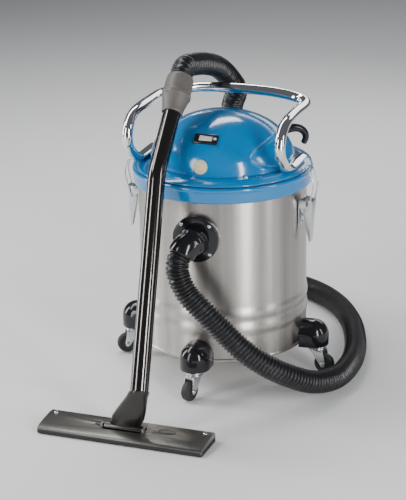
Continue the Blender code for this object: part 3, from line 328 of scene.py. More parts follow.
# The cuff: a soft grey-brown moulding pushed over the wand's end. It is wide where the hose turns in,
# with a moulded ring round its foot, and tapers from there down to the wand.
CUFF_BORE = 15
CUFF_SOCKET = 18.4
CUFF_OUTSIDE = [
    (25.5, CUFF_LENGTH),
    (27.6, CUFF_LENGTH - 4),
    (28.4, CUFF_LENGTH - 12),
    (28.6, 48),
    (29.8, 46.5),
    (30, 44),
    (30, 39),
    (29.6, 37),
    (28.2, 36),
    (27, 31),
    (24.2, 20),
    (22.2, 10),
    (21.7, 3),
    (20.8, 0),
    (CUFF_SOCKET, 0),
]
CUFF_INSIDE = [(CUFF_SOCKET, 31), (CUFF_BORE, 31), (CUFF_BORE, CUFF_LENGTH - 0.6), (22, CUFF_LENGTH - 0.6)]


def wear_and_edge_highlight(made, wear_and_highlight_colour, amount=0.5, reach=0.0012):
    """Paints a finish paler at its rounded edges: part edge wear, part painted edge highlight."""
    tree = made.node_tree
    link = tree.links.new
    shader = tree.nodes["Principled BSDF"]
    shape = tree.nodes.new("ShaderNodeNewGeometry")
    rounded_edge = tree.nodes.new("ShaderNodeBevel")
    rounded_edge.samples = 4
    rounded_edge.inputs["Radius"].default_value = reach
    facing = tree.nodes.new("ShaderNodeVectorMath")
    facing.operation = "DOT_PRODUCT"
    link(rounded_edge.outputs["Normal"], facing.inputs[0])
    link(shape.outputs["Normal"], facing.inputs[1])
    # Every rounded edge turns paler, whichever way it faces the lamps: part wear, part painted edge
    # highlight.
    wear_and_highlight_mask = tree.nodes.new("ShaderNodeMapRange")
    dial(wear_and_highlight_mask, {"From Min": 0.995, "From Max": 0.9, "To Min": 0, "To Max": amount})
    link(facing.outputs["Value"], wear_and_highlight_mask.inputs["Value"])
    through = tree.nodes.new("ShaderNodeMix")
    through.data_type = "RGBA"
    through.inputs["B"].default_value = (*wear_and_highlight_colour, 1)
    link(shader.inputs["Base Color"].links[0].from_socket, through.inputs["A"])
    link(wear_and_highlight_mask.outputs["Result"], through.inputs["Factor"])
    link(through.outputs["Result"], shader.inputs["Base Color"])
    return made


def eased_corners(corners, radius, closed=False, steps=4):
    """An outline with each corner rounded off, by no more than its sides allow."""
    corners = [Vector(corner) for corner in corners]
    outline = []
    for number, corner in enumerate(corners):
        if not closed and number in (0, len(corners) - 1):
            outline.append(corner)
            continue
        before = corners[number - 1] - corner
        after = corners[(number + 1) % len(corners)] - corner
        cut = min(radius, before.length * 0.45, after.length * 0.45)
        start, end = corner + before.normalized() * cut, corner + after.normalized() * cut
        for step in range(steps + 1):
            t = step / steps
            outline.append(start.lerp(corner, t).lerp(corner.lerp(end, t), t))
    return outline


def spun(profile, stand=None, steps=128, closed=True):
    """A shape turned about Z from (radius, height) points, then stood where it belongs."""
    shape = bmesh.new()
    rings = []
    for radius, height in profile:
        if radius < 1e-4:
            rings.append([shape.verts.new((0, 0, height))])
            continue
        turns = [2 * math.pi * number / steps for number in range(steps)]
        rings.append([shape.verts.new((radius * math.cos(t), radius * math.sin(t), height)) for t in turns])
    pairs = list(zip(rings, rings[1:]))
    if closed:
        pairs.append((rings[-1], rings[0]))
    for upper, lower in pairs:
        for number in range(steps):
            follow = (number + 1) % steps
            if len(upper) == 1 and len(lower) == 1:
                break
            if len(upper) == 1:
                shape.faces.new((upper[0], lower[number], lower[follow]))
            elif len(lower) == 1:
                shape.faces.new((upper[number], lower[0], upper[follow]))
            else:
                shape.faces.new((upper[number], lower[number], lower[follow], upper[follow]))
    if stand:
        bmesh.ops.transform(shape, matrix=stand, verts=shape.verts)
    return shape


def stood(shape, stand):
    """Moves a whole drawn shape to where these axes stand."""
    bmesh.ops.transform(shape, matrix=stand, verts=shape.verts)
    return shape


def fit(name, shape, slot, body="machine", stands_for=(), sharp=35):
    """Sets a drawn shape down on the machine as a piece: closed, smooth, finished and riding on a body."""
    if not isinstance(shape, (list, tuple)):
        shape = (shape,)
    mesh = bpy.data.meshes.new(name)
    whole = bmesh.new()
    for part in shape:
        bmesh.ops.recalc_face_normals(part, faces=part.faces)
        part.to_mesh(mesh)
        part.free()
        whole.from_mesh(mesh)
    stood(whole, STAND)
    whole.to_mesh(mesh)
    whole.free()
    mesh.shade_smooth()
    mesh.set_sharp_from_angle(angle=math.radians(sharp))
    mesh.materials.append(FINISHES[slot])
    piece = bpy.data.objects.new(name, mesh)
    bpy.context.scene.collection.objects.link(piece)
    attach(piece, body)
    if stands_for:
        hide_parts(*stands_for)
    return piece


grey_plastic = finish("grey_plastic", (0.135, 0.122, 0.112), 0.42, 0, 0.1, 50, (2400, 2400, 2400), 0.22)
wear_and_edge_highlight(grey_plastic, (0.3, 0.28, 0.26))
cuff_stand = Matrix.Translation(WAND_TOP) @ CUFF_AXIS.to_track_quat("Z", "Y").to_matrix().to_4x4()
cuff_shape = spun(eased_corners(CUFF_OUTSIDE + CUFF_INSIDE, 0.9, closed=True), cuff_stand)
cuff = fit("cuff", cuff_shape, "grey_plastic", stands_for=("hose_cuff",))

# The drum: a rolled sheet of satin stainless with two swaged beads near its foot, seamed to a pressed
# base inside a rolled chime. The wall is grown from its radius, height and beads.
BEAD_OUT = 2.5
BEAD_HALF = 13
BEADS_AT = (138, 170)
WALL = 1.5
BASE_UP = 4
DRUM_R = (drum_high.x - drum_low.x) / 2 / MM - BEAD_OUT
DRUM_FOOT = drum_low.z / MM
DRUM_TOP = drum_high.z / MM
# The steel's colour drifts light and dark in tall upright bands: its own uneven tone, stretched into
# painted reflection streaks.
steel = finish("satin_steel", (0.52, 0.49, 0.46), 0.34, 1, 0.45, 9, (1100, 1100, 7), 0.25)
dial(steel.node_tree.nodes["Principled BSDF"], {"Anisotropic": 0.85, "Anisotropic Rotation": 0.25})
painted_reflection_streaks = steel.node_tree.nodes.new("ShaderNodeMapping")
painted_reflection_streaks.inputs["Scale"].default_value = (5, 5, 0.12)
drift_in = steel.node_tree.nodes["drift"].inputs["Vector"]
steel.node_tree.links.new(drift_in.links[0].from_socket, painted_reflection_streaks.inputs["Vector"])
steel.node_tree.links.new(painted_reflection_streaks.outputs["Vector"], drift_in)


def drum_tree():
    """Bends a tube into the drum's wall, swells its beads and gives it a thickness."""
    sizes = ("Radius", "Foot", "Top", "Lower Bead", "Upper Bead", "Bead Half", "Bead Out", "Wall")
    tree, into = begun("drum_wall", sizes)
    link = tree.links.new
    barrel = tree.nodes.new("GeometryNodeMeshCylinder")
    barrel.fill_type = "NONE"
    dial(barrel, {"Vertices": 180, "Side Segments": 74, "Radius": 1, "Depth": 1})
    position = tree.nodes.new("GeometryNodeInputPosition")
    parts = tree.nodes.new("ShaderNodeSeparateXYZ")
    link(position.outputs["Position"], parts.inputs["Vector"])
    share = sum_of(tree, "ADD", parts.outputs["Z"], 0.5)
    tall = sum_of(tree, "SUBTRACT", into.outputs["Top"], into.outputs["Foot"])
    height = sum_of(tree, "ADD", sum_of(tree, "MULTIPLY", share, tall), into.outputs["Foot"])
    radius = into.outputs["Radius"]
    for bead in ("Lower Bead", "Upper Bead"):
        above = sum_of(tree, "SUBTRACT", height, into.outputs[bead])
        away = sum_of(tree, "DIVIDE", above, into.outputs["Bead Half"])
        rise = sum_of(tree, "SUBTRACT", 1, sum_of(tree, "MULTIPLY", away, away))
        swell = sum_of(tree, "MAXIMUM", rise, 0)
        radius = sum_of(tree, "ADD", radius, sum_of(tree, "MULTIPLY", swell, into.outputs["Bead Out"]))
    joined = tree.nodes.new("ShaderNodeCombineXYZ")
    link(sum_of(tree, "MULTIPLY", parts.outputs["X"], radius), joined.inputs["X"])
    link(sum_of(tree, "MULTIPLY", parts.outputs["Y"], radius), joined.inputs["Y"])
    link(height, joined.inputs["Z"])
    bent = tree.nodes.new("GeometryNodeSetPosition")
    link(barrel.outputs["Mesh"], bent.inputs["Geometry"])
    link(joined.outputs["Vector"], bent.inputs["Position"])
    inward = tree.nodes.new("GeometryNodeExtrudeMesh")
    inward.mode = "FACES"
    inward.inputs["Individual"].default_value = False
    link(bent.outputs["Geometry"], inward.inputs["Mesh"])
    link(sum_of(tree, "MULTIPLY", into.outputs["Wall"], -1), inward.inputs["Offset Scale"])
    both = tree.nodes.new("GeometryNodeJoinGeometry")
    link(inward.outputs["Mesh"], both.inputs["Geometry"])
    link(bent.outputs["Geometry"], both.inputs["Geometry"])
    welded = tree.nodes.new("GeometryNodeMergeByDistance")
    welded.inputs["Distance"].default_value = 0.00001
    link(both.outputs["Geometry"], welded.inputs["Geometry"])
    return ended(tree, into, welded.outputs["Geometry"])


wall_sizes = {"Radius": DRUM_R, "Foot": DRUM_FOOT + BASE_UP + 1, "Top": DRUM_TOP, "Wall": WALL}
wall_sizes.update({"Lower Bead": BEADS_AT[0], "Upper Bead": BEADS_AT[1]})
wall_sizes.update({"Bead Half": BEAD_HALF, "Bead Out": BEAD_OUT})
wall_sizes = {name: value * MM for name, value in wall_sizes.items()}
wall_sizes["Finish"] = steel
wall_mesh = grown("drum_wall", bpy.data.meshes.new("drum_seed"), drum_tree(), wall_sizes)
wall_shape = bmesh.new()
wall_shape.from_mesh(wall_mesh)
stood(wall_shape, STAND.inverted() @ Matrix.Translation(AXIS))
fit("drum_wall", wall_shape, "satin_steel", stands_for=("drum",))
BASE = [
    (0, DRUM_FOOT + BASE_UP),
    (0, DRUM_FOOT + BASE_UP + 2),
    (DRUM_R - 1, DRUM_FOOT + BASE_UP + 2),
    (DRUM_R - 1, DRUM_FOOT + BASE_UP + 3),
]
CHIME = [
    (DRUM_R + 0.4, DRUM_FOOT + BASE_UP + 3),
    (DRUM_R + 1.5, DRUM_FOOT + BASE_UP + 1),
    (DRUM_R + 1.5, DRUM_FOOT + 1.5),
    (DRUM_R, DRUM_FOOT),
    (DRUM_R - 3, DRUM_FOOT),
    (DRUM_R - 5.5, DRUM_FOOT + 1.5),
    (DRUM_R - 6, DRUM_FOOT + BASE_UP),
]
fit("drum_base", spun(eased_corners(BASE + CHIME, 1.4), closed=False), "satin_steel", sharp=50)

# The collar band: sheet steel in blue enamel, rolled and crimped round the drum's mouth, with a bead
# under its top edge. The enamel is baked on under a clear coat, and its edges are painted paler: part wear,
# part painted highlight.
COLLAR_R = (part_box("drum_collar")[1].x - AXIS.x) / MM
COLLAR_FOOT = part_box("drum_collar")[0].z / MM
COLLAR_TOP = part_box("drum_collar")[1].z / MM
MOUTH_R = 168
enamel = finish("blue_enamel", (0.0, 0.19, 0.48), 0.16, 0, 0.05, 20, (260, 260, 260), 0.07)
wear_and_edge_highlight(enamel, (0.06, 0.3, 0.62))
dial(enamel.node_tree.nodes["Principled BSDF"], {"Coat Weight": 0.6, "Coat Roughness": 0.09})
collar_line = [
    (MOUTH_R, COLLAR_TOP),
    (COLLAR_R - 3.5, COLLAR_TOP),
    (COLLAR_R, COLLAR_TOP - 3),
    (COLLAR_R, COLLAR_TOP - 8),
    (COLLAR_R - 1.3, COLLAR_TOP - 10),
    (COLLAR_R - 1.3, COLLAR_FOOT + 2.5),
    (COLLAR_R - 3, COLLAR_FOOT),
    (DRUM_R + GAP, COLLAR_FOOT),
    (DRUM_R + GAP, DRUM_TOP + GAP),
    (MOUTH_R, DRUM_TOP + GAP),
]
collar_shape = spun(eased_corners(collar_line, 1.6, closed=True), steps=192)
fit("collar_band", collar_shape, "blue_enamel", stands_for=("drum_collar",))

# The gasket: a flat ring of black rubber, laid between the collar band and the lid, which pinch it.
# It keeps the shape it is packed with, and shows only as a dark line.
finish("black_rubber", (0.018, 0.018, 0.018), 0.68, 0, 0.25, 60, (2800, 2800, 2800), 0.3)


def carried(slot, *nodes):
    """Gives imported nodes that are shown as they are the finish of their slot."""
    for node in nodes:
        mesh = bpy.data.objects[node].data
        mesh.materials.clear()
        mesh.materials.append(FINISHES[slot])


carried("black_rubber", "lid_gasket")

# The lid: a deep-drawn pressing in the same blue enamel. Its seat for the dome is level, and its
# shoulder falls away to a turned-down rim.
LID_R = (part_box("lid")[1].x - AXIS.x) / MM
LID_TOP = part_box("lid")[1].z / MM
LID_UNDER = COLLAR_TOP + 2.8
LID_THICK = 4
FAN_HOLE_R = 77
lid_line = [
    (FAN_HOLE_R, LID_TOP - GAP / 3),
    (161, LID_TOP - GAP / 3),
    (166, LID_TOP - 0.3),
    (172, LID_TOP - 1.5),
    (181, LID_TOP - 4.5),
    (LID_R - 0.3, LID_UNDER + 2),
    (LID_R, LID_UNDER),
    (MOUTH_R, LID_UNDER),
    (167, LID_TOP - LID_THICK),
    (FAN_HOLE_R, LID_TOP - LID_THICK),
]
lid_shape = spun(eased_corners(lid_line, 2.2, closed=True), steps=192)
fit("lid_pressing", lid_shape, "blue_enamel", stands_for=("lid",))

# The lid screws: two zinc-plated pan heads with a cross recess, which hold the dome's flange down in
# front. Each head is turned, and its four slots are sunk.
LID_SCREW_AT = 156
LID_SCREW_TURN = 35
zinc = finish("zinc", (0.66, 0.68, 0.7), 0.24, 1, 0.12, 160, (1200, 1200, 1200), 0.1)
wear_and_edge_highlight(zinc, (0.85, 0.86, 0.87))


def screw_head(radius, height, stand):
    """A cross-recessed pan head that stands along its own Z."""
    side = [(0, height), (radius * 0.45, height * 0.93), (radius * 0.8, height * 0.65), (radius, 0.2)]
    head = spun([*side, (radius, -0.6), (0, -0.6)], steps=32, closed=False)
    for vertex in head.verts:
        across, along = abs(vertex.co.x), abs(vertex.co.y)
        in_slot = min(across, along) < radius * 0.14 and max(across, along) < radius * 0.6
        if vertex.co.z > height * 0.6 and in_slot:
            vertex.co.z -= height * 0.45
    stood(head, stand)
    return head


for name, side in (("right", 1), ("left", -1)):
    turn = math.radians(-90 + side * LID_SCREW_TURN)
    at = Vector((LID_SCREW_AT * math.cos(turn), LID_SCREW_AT * math.sin(turn), LID_TOP + GAP))
    seat = Matrix.Translation(at) @ Matrix.Rotation(turn, 4, "Z")
    fit(f"lid_screw_head_{name}", screw_head(4, 3, seat), "zinc", stands_for=(f"lid_screw_{name}",))

# The float: an orange plastic ball in a ribbed black cage under the lid, which rises with the water and
# shuts the way to the fan. A sleeve of dark open foam is drawn over the cage to keep out the dust.
finish("float_plastic", (0.62, 0.26, 0.06), 0.4, 0, 0.08, 40, (1500, 1500, 1500), 0.12)
finish("foam", (0.07, 0.07, 0.075), 0.95, 0, 0.35, 120, (1100, 1100, 1100), 1.0)
black_plastic = finish("black_plastic", (0.01, 0.01, 0.012), 0.13, 0, 0.2, 30, (1800, 1800, 1800), 0.06)
wear_and_edge_highlight(black_plastic, (0.09, 0.09, 0.1))
carried("float_plastic", "float_ball")
carried("black_plastic", "float_cage")
carried("foam", "filter_sleeve")

# The fan: a pressed aluminium impeller in its own pressed housing, set in the lid on a rubber gasket,
# and closed by the plate that carries the motor.
finish("pressed_aluminium", (0.7, 0.7, 0.7), 0.34, 1, 0.06, 60, (1600, 1600, 1600), 0.15)
carried("pressed_aluminium", "fan_housing", "impeller", "motor_plate")
carried("black_rubber", "motor_gasket")

# The motor: an armature and a stator wound in enamelled copper, in a moulded black housing. The shaft
# runs in a small steel ball bearing at each end.
finish("winding", (0.5, 0.26, 0.12), 0.36, 0.7, 0.25, 80, (300, 300, 2600), 0.6)
finish("bearing_steel", (0.64, 0.64, 0.66), 0.22, 1, 0.05, 90, (300, 300, 3000), 0.1)
carried("winding", "armature", "stator")
carried("bearing_steel", "bearing_lower", "bearing_upper")
carried("black_plastic", "motor_housing")

# The motor dome: a spun pressing in blue enamel, half an ellipsoid that stands over the motor and is
# screwed down through its foot. It is cut through in front for the switch's tub.
DOME_R = 150
DOME_WALL = 3
DOME_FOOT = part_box("motor_dome")[0].z / MM
DOME_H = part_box("motor_dome")[1].z / MM - DOME_FOOT
SWITCH_UP = 68
TUB_ROOM = (34.6, 17.4, 30, 1)


def dome_radius(height):
    """The dome's radius at a height above its foot."""
    return DOME_R * math.sqrt(max(0, 1 - (height / DOME_H) ** 2))


def on_dome(height):
    """Axes on the dome's front at a height above its foot: X across, Y up the dome, Z out of it."""
    radius = dome_radius(height)
    out = Vector((0, -radius / DOME_R**2, height / DOME_H**2)).normalized()
    side = Vector((1, 0, 0))
    axes = Matrix((side, out.cross(side), out)).transposed().to_4x4()
    return Matrix.Translation((0, -radius, DOME_FOOT + height)) @ axes


falls = [math.pi / 2 * number / 40 for number in range(41)]
outside = [(DOME_R * math.sin(t), DOME_FOOT + DOME_H * math.cos(t)) for t in falls]
in_r, in_h = DOME_R - DOME_WALL, DOME_H - DOME_WALL
inside = [(in_r * math.sin(t), DOME_FOOT + in_h * math.cos(t)) for t in falls]
dome_shape = spun([*outside, *reversed(inside)], steps=192, closed=False)
motor_cover = fit("motor_cover", dome_shape, "blue_enamel", stands_for=("motor_dome",))
SWITCH_STAND = on_dome(SWITCH_UP)
tub_room = bmesh.new()
bmesh.ops.create_cube(tub_room, size=1, matrix=STAND @ SWITCH_STAND @ Matrix.Diagonal(TUB_ROOM))
cutter_mesh = bpy.data.meshes.new("tub_room")
tub_room.to_mesh(cutter_mesh)
tub_room.free()
cutter = bpy.data.objects.new("tub_room", cutter_mesh)
bpy.context.scene.collection.objects.link(cutter)
cut = motor_cover.modifiers.new("tub", "BOOLEAN")
cut.operation = "DIFFERENCE"
cut.object = cutter
cut.solver = "EXACT"
bpy.context.view_layer.update()
cut_mesh = bpy.data.meshes.new_from_object(motor_cover.evaluated_get(bpy.context.evaluated_depsgraph_get()))
motor_cover.modifiers.remove(cut)
motor_cover.data = cut_mesh
motor_cover.data.shade_smooth()
motor_cover.data.set_sharp_from_angle(angle=math.radians(35))
bpy.data.objects.remove(cutter, do_unlink=True)

# The switch: a moulded black frame whose tub is let into the dome, a cream rocker with a sunk finger
# hollow at each end, and a small round neon window at the frame's right end.
NEON_AT = (20.2, 0, 3.5)
switch_cream = finish("switch_cream", (0.66, 0.65, 0.6), 0.28, 0, 0.05, 60, (1800, 1800, 1800), 0.06)
wear_and_edge_highlight(switch_cream, (0.74, 0.73, 0.69))


def softened(name, node, slot, width, body="machine", extra=()):
    """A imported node's own shape as a piece, with its hard edges rounded by this width."""
    shape = bmesh.new()
    shape.from_mesh(bpy.data.objects[node].data)
    bmesh.ops.remove_doubles(shape, verts=shape.verts, dist=0.000002)
    nearly_flat = math.radians(1)
    bmesh.ops.dissolve_limit(
        shape, angle_limit=nearly_flat, verts=shape.verts, edges=shape.edges, delimit={"NORMAL"}
    )
    stood(shape, STAND.inverted())
    bmesh.ops.recalc_face_normals(shape, faces=shape.faces)
    hard = [edge for edge in shape.edges if edge.is_manifold and edge.calc_face_angle(0) > math.radians(32)]
    bmesh.ops.bevel(
        shape,
        geom=hard,
        offset=width,
        offset_type="OFFSET",
        segments=2,
        profile=0.6,
        affect="EDGES",
        clamp_overlap=True,
    )
    return fit(name, [shape, *extra], slot, body, (node,), sharp=40)


softened("switch_frame", "switch_bezel", "black_plastic", 0.5)
softened("rocker_cap", "power_switch", "switch_cream", 0.55, body="rocker")
neon_line = [(0, 1.3), (2.2, 1.1), (3.2, 0.3), (3.3, -0.6), (0, -0.6)]
neon_shape = spun(neon_line, SWITCH_STAND @ Matrix.Translation(NEON_AT), 32, closed=False)
fit("neon_window", neon_shape, "switch_cream")

# The seal: a thin cream disc with a serrated rim and a raised inner ring, blank. It is glued to the
# front of the dome, low down, and follows its curve.
SEAL_UP = 20
SEAL_OFF = 0.35
NOTCH = 1.5
SEAL_STEPS = 96
SEAL_ROWS = [(15, -0.4), (15, 0.55), (13.4, 0.85), (12.8, 1.15), (12.2, 0.85)]
SEAL_ROWS += [(8, 0.8), (7.6, 1.05), (7, 0.8), (0.01, 0.8)]
seal_cream = finish("seal_cream", (0.68, 0.6, 0.38), 0.42, 0.2, 0.08, 150, (1800, 1800, 1800), 0.1)
wear_and_edge_highlight(seal_cream, (0.8, 0.75, 0.58))


def skinned(shape, rows):
    """Closes the side between each ring of points and the next."""
    for first, second in zip(rows, rows[1:]):
        for number in range(len(first)):
            follow = (number + 1) % len(first)
            shape.faces.new((first[number], first[follow], second[follow], second[number]))


seal_stand = on_dome(SEAL_UP)
seal = bmesh.new()
rows = []
for radius, rise in SEAL_ROWS:
    row = []
    for number in range(SEAL_STEPS):
        turn = 2 * math.pi * number / SEAL_STEPS
        notch = NOTCH if radius > 14 and number // 2 % 2 else 0
        x, y = (radius - notch) * math.cos(turn), (radius - notch) * math.sin(turn)
        at = seal_stand @ Vector((x, y, 0))
        height = min(max(at.z - DOME_FOOT, 0.5), DOME_H)
        reach = dome_radius(height)
        depth = math.sqrt(max(0, reach * reach - at.x * at.x))
        out = Vector((at.x / DOME_R**2, -depth / DOME_R**2, height / DOME_H**2)).normalized()
        row.append(seal.verts.new(Vector((at.x, -depth, at.z)) + out * (rise + SEAL_OFF)))
    rows.append(row)
skinned(seal, rows)
seal.faces.new(rows[-1])
seal.faces.new(list(reversed(rows[0])))
fit("blank_seal", seal, "seal_cream", stands_for=("seal_disc",))

# The handle: one 22 mm tube, bent and chromed. Its tails are pressed flat on the lid, each leg bulges
# up over the lid's edge, and the arms run back to a raised crossbar behind the dome.
HANDLE_TUBE_R = 11
HANDLE_PRESSED = 0.5
HANDLE_X = (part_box("handle")[1].x - AXIS.x) / MM - HANDLE_TUBE_R
TAIL_Z = LID_TOP + HANDLE_TUBE_R * HANDLE_PRESSED + 2 * GAP
finish("chrome", (0.86, 0.86, 0.86), 0.07, 1, 0.03, 30, (700, 700, 700), 0.02)


def swept(points, sizes, sides=32, pressed=None):
    """A closed tube along a line, with a radius at each point and a share of its height where pressed."""
    shape = bmesh.new()
    rows = []
    normal = None
    for number, at in enumerate(points):
        ahead = points[min(number + 1, len(points) - 1)] - points[max(number - 1, 0)]
        ahead.normalize()
        if normal is None:
            normal = ahead.cross(Vector((0, 0, 1)))
            if normal.length < 0.1:
                normal = ahead.cross(Vector((0, 1, 0)))
        normal = (normal - ahead * normal.dot(ahead)).normalized()
        up = ahead.cross(normal)
        squash = pressed[number] if pressed else 1
        wide = normal * sizes[number] * (1 + (1 - squash) * 0.35)
        tall = up * sizes[number] * squash
        turns = [2 * math.pi * step / sides for step in range(sides)]
        rows.append([shape.verts.new(at + wide * math.cos(turn) + tall * math.sin(turn)) for turn in turns])
    skinned(shape, rows)
    shape.faces.new(rows[0])
    shape.faces.new(list(reversed(rows[-1])))
    return shape


def along_line(line, values, knots):
    """A value for each point of a fine line, from values given at its knots."""
    spread = []
    for at in line:
        order = sorted(range(len(knots)), key=lambda index: (knots[index] - at).length)
        near, next_near = order[0], order[1]
        a, b = (knots[near] - at).length, (knots[next_near] - at).length
        spread.append((values[near] * b + values[next_near] * a) / max(a + b, 1e-6))
    return spread


handle_side = [
    (HANDLE_X, 32, 0, HANDLE_PRESSED),
    (HANDLE_X, 0, 0, HANDLE_PRESSED),
    (HANDLE_X, -50, 0, HANDLE_PRESSED),
    (HANDLE_X, -72, 3, 0.7),
    (HANDLE_X, -92, 12, 1),
    (HANDLE_X, -112, 27, 1),
    (HANDLE_X, -127, 45, 1),
    (HANDLE_X, -130, 64, 1),
    (HANDLE_X, -122, 82, 1),
    (HANDLE_X, -104, 96, 1),
    (HANDLE_X, -82, 102, 1),
    (HANDLE_X, -40, 104, 1),
    (HANDLE_X, 0, 103.5, 1),
    (HANDLE_X, 60, 102, 1),
    (HANDLE_X - 5, 82, 102, 1),
    (HANDLE_X - 17, 96, 104, 1),
    (HANDLE_X - 35, 102, 107, 1),
    (HANDLE_X - 80, 102, 114, 1),
]
handle_route = [(x, y, TAIL_Z + z, squash) for x, y, z, squash in handle_side]
other_side = [(-x, y, z, squash) for x, y, z, squash in reversed(handle_route)]
handle_route += [(0, 102, TAIL_Z + 117, 1), *other_side]
knots = [Vector(knot[:3]) for knot in handle_route]
line = eased(knots, 5)
pressed = along_line(line, [knot[3] for knot in handle_route], knots)
pressed = [max(HANDLE_PRESSED, min(1, squash)) for squash in pressed]
handle_shape = swept(line, [HANDLE_TUBE_R] * len(line), 36, pressed)
fit("handle_tube", handle_shape, "chrome", stands_for=("handle",))

# The cord hooks: a black plastic horn moulded on each rear quarter of the dome, turned down and
# rounded off at its tip. The wound lead hangs on the pair.
HORN_BEARING = math.radians(40)
HORN_ROUTE = ((131, 41), (146, 44), (163, 45), (178, 41), (188, 31), (190, 20), (186, 11))
HORN_SIZES = (10.5, 9.8, 9, 8.4, 7.6, 7, 6.4)
for name, side in (("right", 1), ("left", -1)):
    out = Vector((side * math.cos(HORN_BEARING), math.sin(HORN_BEARING), 0))
    knots = [out * radius + Vector((0, 0, DOME_FOOT + height)) for radius, height in HORN_ROUTE]
    line = eased(knots, 2.5)
    sizes = along_line(line, HORN_SIZES, knots)
    tip = line[-1] - line[-2]
    line += [line[-1] + tip * 0.9, line[-1] + tip * 1.4]
    sizes += [sizes[-1] * 0.82, sizes[-1] * 0.45]
    line.insert(1, line[0].lerp(line[1], 0.5))
    sizes.insert(1, sizes[0])
    fit(f"cord_horn_{name}", swept(line, sizes, 24), "black_plastic", stands_for=(f"cord_hook_{name}",))

# The gland: a ribbed black rubber relief, pushed through the back of the dome, that keeps the mains
# lead from kinking where it leaves.
GLAND_UP = 30
GLAND_X = -60
GLAND_RIBS = 6
GLAND_PITCH = 4.4
gland_at = (GLAND_X, dome_radius(GLAND_UP) * 0.9, DOME_FOOT + GLAND_UP)
gland_stand = Matrix.Translation(gland_at) @ Matrix.Rotation(-math.pi / 2, 4, "X")
gland_stand = gland_stand @ Matrix.Rotation(0.35, 4, "Y")
gland_line = [(0, 42), (4.4, 42)]
for number in range(GLAND_RIBS):
    low = 39 - number * GLAND_PITCH
    swell = 4.6 + number * 0.42
    gland_line += [(swell, low), (swell, low - 2), (swell - 1, low - 2.6), (swell - 0.9, low - 3.8)]
gland_line += [(7, 12), (7, -4), (0, -4)]
gland_shape = spun(gland_line, gland_stand, 32, closed=False)
fit("lead_relief", gland_shape, "black_rubber", stands_for=("cord_gland",))

# The inlet: a black moulded flange, held to the drum by four zinc screws, and a short glossy elbow that
# turns down and to the left into the hose, with a raised collar where it leaves the flange.
INLET_Z = 336
FLANGE_OUT = 10.7
SCREW_CIRCLE = 42
ELBOW_R = 28
ELBOW_COLLAR = (28.4, 29.6, 30, 30, 29.6, 28.4)
softened("inlet_plate", "inlet_flange", "black_plastic", 0.9)
for number in range(4):
    turn = math.radians(45 + 90 * number)
    across, up = SCREW_CIRCLE * math.cos(turn), INLET_Z + SCREW_CIRCLE * math.sin(turn)
    at = Matrix.Translation((across, -DRUM_R - FLANGE_OUT + GAP, up))
    seat = at @ Matrix.Rotation(math.pi / 2, 4, "X") @ Matrix.Rotation(turn, 4, "Z")
    fit(f"inlet_screw_{number + 1}", screw_head(4, 2.6, seat), "zinc")
line = eased(ELBOW, 2)
sizes = [ELBOW_R] * len(line)
sizes[-2:] = [27.6, 26.4]
collar_at = next(number for number, at in enumerate(line) if at.y < -199)
sizes[collar_at - 1 : collar_at + 5] = ELBOW_COLLAR
fit("elbow", swept(line, sizes, 64), "black_plastic", stands_for=("inlet_elbow",))

# The wand: a 36 mm steel tube in smoked chrome, straight from the floor tool's neck to one easy bend
# below the cuff, into which its top is pushed.
WAND_R = 18.0
BEND_R = 140
IN_THE_CUFF = 29
finish("dark_chrome", (0.13, 0.12, 0.115), 0.12, 1, 0.06, 25, (900, 900, 40), 0.05)
into_bend = (WAND_BEND - WAND_FOOT).normalized()
set_back = BEND_R * math.tan(into_bend.angle(CUFF_AXIS) / 2)
bend_start, bend_end = WAND_BEND - into_bend * set_back, WAND_BEND + CUFF_AXIS * set_back
shares = [number / 24 for number in range(25)]
arc = [bend_start.lerp(WAND_BEND, t).lerp(WAND_BEND.lerp(bend_end, t), t) for t in shares]
straight = [WAND_FOOT.lerp(bend_start, number / 30) for number in range(30)]
line = [*straight, *arc, WAND_TOP + CUFF_AXIS * IN_THE_CUFF]
fit("wand_tube", swept(line, [WAND_R] * len(line), 72), "dark_chrome", stands_for=("wand",))

# The neck: one casting that flares from a round socket on the wand to a wide flat foot with a
# hinge barrel across it. It turns on a steel pin between the floor tool's ears.
TOOL_STAND = Matrix.Translation((-69, -424, 0)) @ Matrix.Rotation(math.radians(-2.4), 4, "Z")
TOOL_PIVOT = TOOL_STAND @ Vector((-4, 0, 20))
BARREL_HALF = 39
PIN_HALF = 46
NECK_STEPS = 32
NECK_ROWS = (
    (0.0, 20, 20),
    (0.02, 20.6, 20.6),
    (0.12, 21.2, 20.4),
    (0.25, 25, 18),
    (0.48, 31, 16),
    (0.7, 35, 12),
    (0.86, 33.5, 9),
    (0.97, 36.5, 7.4),
)
tool_black = finish("tool_black", (0.19, 0.185, 0.17), 0.3, 0.9, 0.15, 60, (2200, 2200, 2200), 0.12)
wear_and_edge_highlight(tool_black, (0.3, 0.3, 0.31))
# The neck's finish is a darker, glossier copy of the floor tool's: the darkness is painted shade.
finish("neck_casting", (0.06, 0.058, 0.054), 0.22, 0.9, 0.15, 60, (2200, 2200, 2200), 0.08)
across = (TOOL_STAND.to_3x3() @ Vector((1, 0, 0))).normalized()
neck_top = WAND_FOOT - into_bend * GAP
neck = bmesh.new()
rows = []
for share, half_width, half_depth in NECK_ROWS:
    blend = min(1, share / 0.25)
    level_side = (across - into_bend * across.dot(into_bend)).normalized()
    lean = Vector((0, -1, 0.35 * (1 - share))).normalized()
    side = level_side.lerp(across, blend).normalized()
    up = level_side.cross(into_bend).lerp(lean, blend).normalized()
    centre = neck_top.lerp(TOOL_PIVOT, share)
    row = []
    for step in range(NECK_STEPS):
        turn = 2 * math.pi * step / NECK_STEPS
        waist = 1 - 0.1 * blend * math.cos(turn * 2) if share < 0.9 else 1
        beside = side * half_width * math.cos(turn) * waist**0.3
        row.append(neck.verts.new(centre + beside + up * half_depth * math.sin(turn)))
    rows.append(row)
